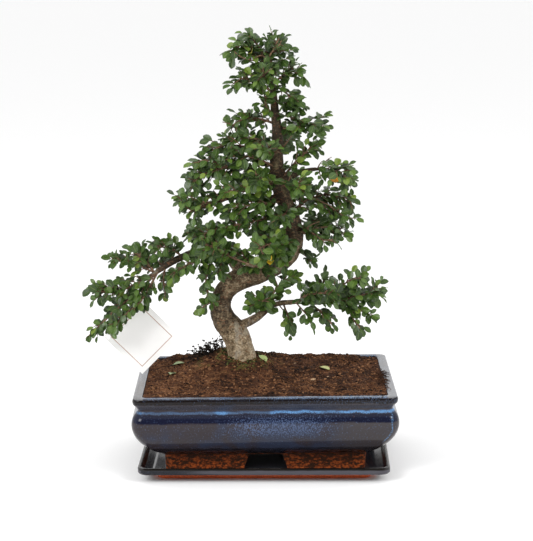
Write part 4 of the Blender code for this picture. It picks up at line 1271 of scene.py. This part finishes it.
def twig_end(stem, reach, share, turn, draw):
    """Where a twig leaves its stem, and where it ends."""
    base, along = along_path(stem, share)
    side = along.cross(UP)
    side = side.normalized() if side.length > 0.3 else Vector((1.0, 0.0, 0.0))
    lift = side.cross(along).normalized()
    wide, high, low = reach
    rise = high if math.sin(turn) > 0 else low
    offset = side * wide * math.cos(turn) + lift * rise * math.sin(turn)
    return base, base + offset * MM * draw.uniform(0.80, 1.05) + along * draw.uniform(0.004, 0.011)


def solid_twigs(stem, reach, number, count):
    """The twigs that the solids have."""
    twigs = []
    for index in range(count):
        draw = random.Random(number * 1000 + index)
        turn = GOLDEN_TURN * index + draw.uniform(-0.7, 0.7)
        share = TWIG_FIRST_SHARE + TWIG_SHARES * (index + 0.5) / count
        twigs.append(twig_end(stem, reach, share, turn, draw))
    return twigs


def fill_twigs(stem, reach, number, count):
    """The twigs between them."""
    twigs = []
    for index in range(count):
        draw = random.Random(50000 + number * 1000 + index)
        share = 0.10 + 0.88 * (index + draw.random()) / count
        turn = GOLDEN_TURN * index + 1.1 + draw.uniform(-0.8, 0.8)
        inner = [r * draw.uniform(0.40, 1.0) for r in reach]
        twigs.append(twig_end(stem, inner, share, turn, draw))
    return twigs


def bent(base, end, draw):
    """Five points from base to end, bent a little upwards."""
    span = end - base
    sag = span.length * draw.uniform(-0.02, 0.12)
    sway = span.cross(UP) * draw.uniform(-0.08, 0.08)
    return [base + span * t + (UP * sag + sway) * math.sin(math.pi * t) for t in (0.0, 0.25, 0.5, 0.75, 1.0)]


# %% [markdown]
# A leaf turns its face to the light, which comes from above and from whichever side the twig grows on,
# and splays from its twig. The rule below adds those pulls up as vectors, with a random one to scatter
# the result, and builds the leaf's own axes from the sum.

# %% One leaf's place
LEAF_LENGTH = 0.0132
LEAF_WIDTH = 0.0092
LEAF_SPLAY = math.radians(52)
TREE_HEART = Vector((0.012, 0.030, 0.250))
SIDE_DEPTH = 0.014


def leaf_matrix(base, along, sign, draw, loose, size):
    near_side = Vector((0.0, max(-1.0, min(1.0, (base.y - TREE_HEART.y) / SIDE_DEPTH)), 0.0))
    scatter = Vector((draw.uniform(-1, 1), draw.uniform(-1, 1), draw.uniform(-1, 1)))
    face = (UP * 0.55 + near_side * 0.55 + (base - TREE_HEART).normalized() * 0.3
            + scatter * (0.5 + 0.15 * loose))
    side = along.cross(face).normalized() * sign
    splay = LEAF_SPLAY + draw.uniform(-0.35, 0.35)
    length = along * math.cos(splay) + side * math.sin(splay) if sign else along + scatter * 0.25
    length = (length - UP * draw.uniform(0.0, 0.30)).normalized()
    face = (face - length * face.dot(length)).normalized()
    across = length.cross(face)
    wide = size * LEAF_WIDTH * draw.uniform(0.88, 1.12)
    long = size * LEAF_LENGTH
    columns = Matrix((across * wide, length * long, face * long)).transposed().to_4x4()
    return Matrix.Translation(base + length * 0.10 * LEAF_LENGTH * size) @ columns


# %% [markdown]
# Most tints lie round a dark green, with fresher leaves towards the tips. Four spots name the leaves that
# have turned yellow or orange, each about where the photograph shows one.

# %% One leaf's tint
TINT_RANGE = (0.04, 0.92)
TURNED = [((0.081, 0.321), 1.0), ((0.006, 0.236), 0.98), ((0.036, 0.441), 0.955), ((-0.012, 0.468), 0.955)]
TURNED_REACH = 0.0036
TURNED_FRONT = 0.012


def leaf_tint(draw, fresh, middle):
    tint = min(TINT_RANGE[1], max(TINT_RANGE[0], draw.gauss(0.38, 0.22) + fresh))
    for (x, z), colour in TURNED:
        if math.hypot(middle.x - x, middle.z - z) < TURNED_REACH and middle.y < TURNED_FRONT:
            tint = colour
    return tint


# %% [markdown]
# A spray that filled its space to the border would end in a straight edge. So each leaf draws how far
# inside the border it has to stay, and the border comes out ragged, as on the tree.

# %% Leaves along a twig
LEAF_SPACING = 0.0046
LEAF_SIZES = (0.56, 1.02)
LAST_LEAF_SIZE = 0.86
RAGGED = 0.012


def leaves_along(path, first, draw, fresh, space):
    """Matrices and tints of leaves that stand left and right along a path and end it."""
    length = sum((b - a).length for a, b in zip(path, path[1:]))
    count = max(2, round(length * (1.0 - first) / LEAF_SPACING) + 1)
    rows = []
    for index in range(count):
        share = first + (1.0 - first) * index / (count - 1)
        base, along = along_path(path, share)
        last = index == count - 1
        size = draw.uniform(*LEAF_SIZES) * (LAST_LEAF_SIZE if last else 1.0)
        for loose in range(TRIES):
            matrix = leaf_matrix(base, along, 0 if last else (1, -1)[index % 2], draw, loose, size)
            middle, tip = matrix @ Vector((0.0, 0.55, 0.0)), matrix @ Vector((0.0, 1.0, 0.0))
            inset = (draw.uniform(0.0, RAGGED), draw.uniform(0.0, RAGGED), 0.0)
            if any(in_the_way(point, space, inset) for point in (middle, tip)):
                continue
            if room.add_if_free(matrix):
                rows.append((matrix, leaf_tint(draw, fresh + 0.18 * share, middle)))
                break
    return rows


# %% Wood of a spray
STEM_TIP_RADIUS = 0.0009


def spray_rods(stem_rows, first_radius, twigs, draw):
    """Rods of the stem and its twigs, and the paths that leaves stand along."""
    line = [Vector(row) * MM for row in smooth_line(stem_rows, 3)]
    first, count = first_radius * MM, len(line) - 1
    stem = [(*p, first + (STEM_TIP_RADIUS - first) * i / count) for i, p in enumerate(line)]
    rods, paths = [stem], []
    for base, end in twigs:
        path = bent(base, end, draw)
        rods.append([(*p, 0.00085 - 0.00012 * i) for i, p in enumerate(path)])
        paths.append(path)
    return rods, line, paths


# %% [markdown]
# The solids have few sprays, and the tree has leaves between them too. These smaller sprays fill the
# space. They stand for no solid, and keep inside the box of all solids together.

# %% Sprays in between
FILL_SPRAYS = {
    "right_gap": ([(22, 31, 322), (34, 22, 338), (48, 20, 352), (60, 19, 362)], 1.5, (12, 11, 11)),
    "right_shoulder": ([(15, 30, 392), (28, 22, 394), (42, 20, 388)], 1.3, (11, 10, 10)),
    "left_gap": ([(16, 31, 352), (0, 20, 366), (-18, 18, 370), (-36, 16, 366)], 1.5, (12, 10, 10)),
    "left_mid": ([(17, 32, 332), (0, 16, 344), (-20, 14, 350), (-40, 12, 350)], 1.5, (12, 10, 10)),
    "middle": ([(24, 32, 296), (4, 10, 296), (-18, 2, 295), (-40, 0, 293)], 1.5, (14, 11, 13)),
    "front_trunk": ([(17, 32, 318), (10, 8, 318), (2, -2, 322), (-8, -6, 326)], 1.4, (14, 12, 13)),
    "front_low": ([(30, 33, 284), (24, 8, 284), (18, -4, 280)], 1.3, (13, 12, 13)),
    "low_gap": ([(8, 31, 217), (-4, 8, 224), (-22, 0, 236), (-38, -2, 246)], 1.4, (13, 11, 12)),
    "under_left": ([(-64, 24, 241), (-76, 10, 232), (-92, 6, 224), (-106, 4, 216)], 1.4, (12, 9, 11)),
    "under_trunk": ([(13, 20, 177), (10, 12, 190), (20, 12, 204), (34, 14, 212)], 1.2, (12, 10, 10)),
    "hang_right": ([(88, 10, 184), (96, 4, 173), (103, 0, 161), (109, -2, 153)], 1.0, (6, 5, 5)),
    "left_edge": ([(-58, 8, 298), (-70, 4, 300), (-82, 2, 303), (-92, 2, 301)], 1.2, (12, 10, 10)),
    "left_top": ([(-38, 19, 337), (-52, 14, 343), (-64, 12, 346), (-74, 12, 344)], 1.2, (10, 8, 9)),
    "crown_arc": ([(10, 27, 448), (-8, 22, 462), (-24, 18, 474), (-33, 17, 466)], 1.1, (9, 7, 8)),
    "crown_low": ([(11, 28, 430), (24, 22, 422), (34, 20, 414)], 1.1, (10, 9, 9)),
    "crown_top_left": ([(9, 27, 452), (0, 22, 466), (-8, 20, 478), (-14, 19, 484)], 1.1, (10, 7, 8)),
    "neck": ([(12, 28, 396), (7, 18, 402), (3, 12, 410), (4, 9, 418)], 1.1, (8, 8, 8)),
    "gap_left": ([(19, 32, 318), (0, 14, 313), (-22, 6, 311), (-44, 4, 313)], 1.3, (11, 10, 10)),
    "pad_back": ([(-124, 9, 218), (-140, 6, 226), (-156, 2, 232), (-172, 0, 236)], 1.2, (10, 9, 9)),
    "right_under": ([(56, 28, 298), (70, 22, 290), (84, 20, 284), (96, 19, 277)], 1.2, (10, 8, 9)),
    "right_leaves": ([(40, 32, 268), (54, 20, 262), (66, 12, 254), (78, 10, 253)], 1.2, (9, 6, 7)),
    "bend_left": ([(-40, 28, 234), (-46, 14, 232), (-49, 6, 226), (-50, 2, 219)], 1.1, (9, 8, 8)),
    "pad_top": ([(70, 12, 182), (84, 6, 196), (97, 2, 208), (110, 0, 211)], 1.1, (11, 9, 9)),
    "pad_low": ([(94, 11, 185), (104, 6, 178), (112, 2, 172), (120, 0, 168)], 1.1, (8, 7, 7)),
    "small_hang": ([(36, 15, 181), (43, 8, 174), (49, 3, 168), (53, 0, 162)], 0.9, (5, 4, 4)),
    "trunk_leaf": ([(-48, 22, 186), (-58, 14, 183), (-66, 12, 179), (-72, 12, 175)], 0.9, (4, 4, 4)),
}
print("sprays:", len(SPRAYS), "and in between:", len(FILL_SPRAYS))


# %% Grow the sprays
SPACE_MARGIN = 0.004
STEM_FOOT_ROOM = 0.008
FILL_SPACING = 0.0030


def spray_plan(name):
    """A spray's row, the box that its leaves keep to, and the nodes that it stands for."""
    if name in FILL_SPRAYS:
        return (*FILL_SPRAYS[name], 0), [Vector(corner) for corner in solid_box], []
    return SPRAYS[name], list(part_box("spray_" + name)), ["spray_" + name]


def grow_spray(number, name):
    (stem_rows, first_radius, reach, count), (low, high), nodes = spray_plan(name)
    stem = [Vector(row) * MM for row in stem_rows]
    for axis in (0, 1):
        low[axis] = min(low[axis], stem[0][axis] - STEM_FOOT_ROOM)
        high[axis] = max(high[axis], stem[0][axis] + STEM_FOOT_ROOM)
    margin = Vector((SPACE_MARGIN, SPACE_MARGIN, SPACE_MARGIN * 0.5))
    space = low - margin, high + margin
    draw = random.Random(900 + number)
    length = sum((b - a).length for a, b in zip(stem, stem[1:]))
    fill = max(2, round(length * (reach[0] + reach[1]) / 30.0 / FILL_SPACING))
    twigs = solid_twigs(stem, reach, number, count) + fill_twigs(stem, reach, number, fill)
    rods, line, paths = spray_rods(stem_rows, first_radius, twigs, draw)
    fresh = draw.uniform(-0.06, 0.10)
    placed = leaves_along(line, 0.25, draw, fresh, space)
    for path in paths:
        placed += leaves_along(path, 0.22, draw, fresh, space)
    bm = growing_rods(rods, 1)
    bm.verts.layers.float.new("under")
    bmesh.ops.recalc_face_normals(bm, faces=bm.faces)
    for face in bm.faces:
        face.material_index = 1
    for matrix, tint in placed:
        add_copy(bm, draw.choice(leaves), matrix, tint)
    piece("leafy_" + name, bm, [leaf_green, twig_bark], nodes, outwards=False)
    return len(placed)


total_leaves = sum(grow_spray(number, name) for number, name in enumerate([*SPRAYS, *FILL_SPRAYS]))
print("leaves:", total_leaves)

# %% [markdown]
# ## Bare twigs
# Pruning leaves stubs, and old twigs lose their leaves. A few brown ones show between the green, most
# of them in the crown, so they are drawn through points read where the photograph shows them.

# %% Bare twigs
BARE_TWIGS = [
    ([(9, 27, 444), (7, 16, 458), (14, 12, 471), (19, 12, 482)], 1.3),
    ([(7, 16, 458), (-2, 10, 463), (-12, 10, 457)], 0.9),
    ([(10, 27, 447), (-6, 14, 456), (-22, 10, 461), (-31, 10, 468)], 1.1),
    ([(14, 12, 471), (19, 8, 474), (22, 8, 480)], 0.8),
    ([(-47, -10, 246), (-34, -13, 238), (-18, -14, 232), (-3, -12, 226)], 1.2),
    ([(16, 20, 178), (24, 14, 169), (31, 12, 160), (36, 10, 150)], 0.8),
    ([(34, 32, 262), (44, 20, 262), (54, 16, 270), (64, 16, 274)], 0.9),
    ([(16, 31, 352), (25, 16, 362), (33, 12, 373)], 0.9),
    ([(60, 20, 300), (74, 16, 293), (84, 14, 287), (88, 13, 296)], 0.8),
    ([(-100, 16, 232), (-116, 8, 243), (-124, 6, 256)], 0.8),
    ([(70, 12, 182), (78, 6, 196), (81, 4, 208)], 0.8),
    ([(-10, 26, 354), (-24, 12, 362), (-34, 10, 372)], 0.8),
]


def bare_twigs_mesh():
    rods = []
    for rows, radius in BARE_TWIGS:
        line = smooth_line(rows, 4)
        rods.append([(*(point * MM), radius * MM * (1.0 - 0.55 * index / len(line)))
                     for index, point in enumerate(line)])
    return rods_mesh(rods, 1)


piece("bare_twigs", bare_twigs_mesh(), [twig_bark])

# %% [markdown]
# ## Fallen leaves
# Four leaves lie on the soil, paler than those on the tree. They are the same leaf, lying where the
# solids lie and tipped to the slope of the soil below them.

# %% Fallen leaves
FALLEN = {"fallen_leaf_left_back": 20, "fallen_leaf_left": 75, "fallen_leaf_trunk": -50,
          "fallen_leaf_right": -35}
FALLEN_LIFT = 0.0022
fallen_green = leaf_finish("fallen_leaf", [(0.0, (0.20, 0.27, 0.12)), (0.6, (0.34, 0.42, 0.17)),
                                           (1.0, (0.50, 0.46, 0.16))])


def fallen_mesh(node, turn, number):
    """A leaf on the soil where the node lies, turned by degrees and tipped to the slope."""
    low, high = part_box(node)
    middle = (low + high) / 2
    along = Vector((math.cos(math.radians(turn)), math.sin(math.radians(turn)), 0.0))
    spot = middle - along * LEAF_LENGTH / 2
    slope = soil_height(*(middle + along * 0.004)[:2]) - soil_height(*(middle - along * 0.004)[:2])
    along = Vector((along.x, along.y, slope / 0.008)).normalized()
    across = along.cross(UP).normalized()
    face = across.cross(along)
    columns = Matrix((across * LEAF_WIDTH, along * LEAF_LENGTH, face * LEAF_LENGTH)).transposed().to_4x4()
    bm = growing_mesh()
    bm.verts.layers.float.new("under")
    spot.z = soil_height(spot.x, spot.y) + FALLEN_LIFT
    add_copy(bm, leaves[number % 3], Matrix.Translation(spot) @ columns, 0.25 + 0.2 * number)
    return bm


for number, (node, turn) in enumerate(FALLEN.items()):
    piece("dropped" + node[6:], fallen_mesh(node, turn, number), [fallen_green], [node],
          outwards=False)

# %% [markdown]
# ## Moss, dry roots and bits
# Left of the trunk a clump of dry black rootlets sticks out of the soil, moss grows round the foot of
# the trunk, and fibres have slid over the right rim. None of them is a main form, but a pot without
# them looks like a toy. Rods and crumbs make them all. A rootlet wanders: each step turns its heading a
# little, and crumbs cling to it.

# %% Dry clump
CLUMP_RODS = 60


def clump_mesh():
    draw = random.Random(71)
    rods = []
    for _ in range(CLUMP_RODS):
        x = CLUMP_FOOT[0] - draw.uniform(-0.008, 0.030)
        y = CLUMP_FOOT[1] + draw.uniform(-0.006, 0.006)
        spot = Vector((x, y, rough_soil(x, y) - 0.002))
        heading = Vector((draw.uniform(-1.0, 0.3), draw.uniform(-0.6, 0.6), draw.uniform(0.25, 1.0)))
        heading.normalize()
        step = draw.uniform(0.0028, 0.0052)
        rod = []
        for index in range(5):
            rod.append((*spot, 0.00055 - 0.00007 * index))
            heading = (heading + Vector([draw.uniform(-0.55, 0.55) for _ in range(3)])).normalized()
            spot = spot + heading * step
        rods.append(rod)
    bm = growing_rods(rods, 0)
    for rod in rods:
        for row in rod[2:]:
            size = draw.uniform(0.0006, 0.0016)
            place = Vector(row[:3]) + Vector([draw.uniform(-0.001, 0.001) for _ in range(3)])
            shape = (size * 1.6, size, size * 0.4)
            add_copy(bm, crumb, turned(place, draw.uniform(0, 6.3), draw.uniform(0, 3.0), shape), 0.0)
    return bm


dry = peat_finish("dry_roots", (0.006, 0.005, 0.004), (0.016, 0.012, 0.009), (0.050, 0.034, 0.022))
piece("dry_rootlets", clump_mesh(), [dry])

# %% [markdown]
# Moss is a ring of tiny olive crumbs round the foot of the trunk, denser close to it, and broken by noise
# so that soil shows through.

# %% Moss
MOSS_TUFTS = 520


def moss_mesh():
    draw = random.Random(81)
    bm = growing_mesh()
    for _ in range(MOSS_TUFTS):
        angle = draw.uniform(0, FULL_TURN)
        away = 0.0165 + 0.016 * draw.random() ** 1.8
        x, y = MOUND_CENTRE[0] + 0.006 + away * math.cos(angle), 0.030 + away * math.sin(angle)
        if noise.noise(Vector((x, y, 0.3)) * 140.0) < -0.05:
            continue
        size = draw.uniform(0.0005, 0.0011)
        place = (x, y, rough_soil(x, y) + size * 0.3)
        matrix = turned(place, angle, draw.uniform(-0.5, 0.5), (size, size, size * 1.3))
        add_copy(bm, crumb, matrix, draw.random())
    return bm


moss = peat_finish("moss", (0.016, 0.018, 0.006), (0.050, 0.058, 0.016), (0.120, 0.128, 0.040), 0.8)
piece("moss_tufts", moss_mesh(), [moss], smooth=False)

# %% [markdown]
# A few pale chips lie on the soil, and fibres hang over the inner edge of the right rim.

# %% Chips
CHIPS = [(0.055, -0.020, 0.0034), (0.072, -0.008, 0.0026), (0.021, -0.062, 0.0016), (-0.064, -0.050, 0.0018),
         (0.098, 0.022, 0.0016), (-0.086, 0.012, 0.0015), (0.036, 0.048, 0.0018)]


def chips_mesh():
    draw = random.Random(91)
    bm = growing_mesh()
    for x, y, size in CHIPS:
        place = (x, y, rough_soil(x, y) + size * 0.35)
        matrix = turned(place, draw.uniform(0, 6.3), 0.3, (size, size * 0.45, size * 0.35))
        add_copy(bm, crumb, matrix, draw.random())
    return bm


pale = peat_finish("pale_chips", (0.30, 0.18, 0.10), (0.52, 0.34, 0.20), (0.70, 0.52, 0.34))
piece("pale_chips", chips_mesh(), [pale], smooth=False)

# %% Fibres over the rim
RIM_FIBRES = 80
RIM_TOP = 0.0985


def rim_fibres_mesh():
    draw = random.Random(95)
    rods = []
    for _ in range(RIM_FIBRES):
        x = SOIL_HALF_X - draw.uniform(-0.002, 0.006)
        y = draw.gauss(-0.012, 0.022)
        spot = Vector((x - 0.001, y, RIM_TOP))
        heading = Vector((draw.uniform(0.1, 1.0), draw.uniform(-1.0, 1.0), draw.uniform(0.0, 0.8)))
        heading.normalize()
        rod = []
        for _ in range(5):
            rod.append((*spot, draw.uniform(0.00022, 0.00042)))
            bend = Vector((draw.uniform(-0.6, 0.6), draw.uniform(-0.6, 0.6), -0.35))
            heading = (heading + bend).normalized()
            spot = spot + heading * 0.0025
            spot.z = max(spot.z, RIM_TOP)
        rods.append(rod)
    return rods_mesh(rods, 0)


piece("rim_fibres", rim_fibres_mesh(), [dark_fibre])

# %% [markdown]
# ## Card
# The card is stiff white paper. The solid already has its true shape, so it only gets a finish: a faint
# grain, and a thin brown line printed round it inside the edge.

# %% Card paper
def card_paper():
    paper = new_finish("card_paper")
    vector, (x, _, z) = paper.place()
    middle = (card_low + card_high) / 2
    dx, dz = x - middle.x, z - middle.z
    square = abs(dx + dz).at_least(abs(dx - dz)) / math.sqrt(2)
    line = paper.rise(abs(square - 0.0245), 0.0006, 0.0003)
    fibre_grain = paper.noise(vector, 900.0, 2.0)
    plain = paper.mix((0.98, 0.97, 0.955), (0.93, 0.92, 0.90), paper.noise(vector, 45.0, 2.0))
    paper.set(Base_Color=paper.mix(plain, (0.36, 0.16, 0.07), line * 0.8), Roughness=0.7 + fibre_grain * 0.1)
    paper.bump(fibre_grain, 0.0002, 0.2)
    return paper


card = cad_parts["hang_card"]
card.data.materials.clear()
card.data.materials.append(card_paper().material)

# %% [markdown]
# ## Pieces and the end
# The dressed tree must keep the solids' size. The script ends by counting its pieces and their triangles.

# %% Finish
print("pieces:", len(pieces), "triangles:", sum(count for _, count in pieces))
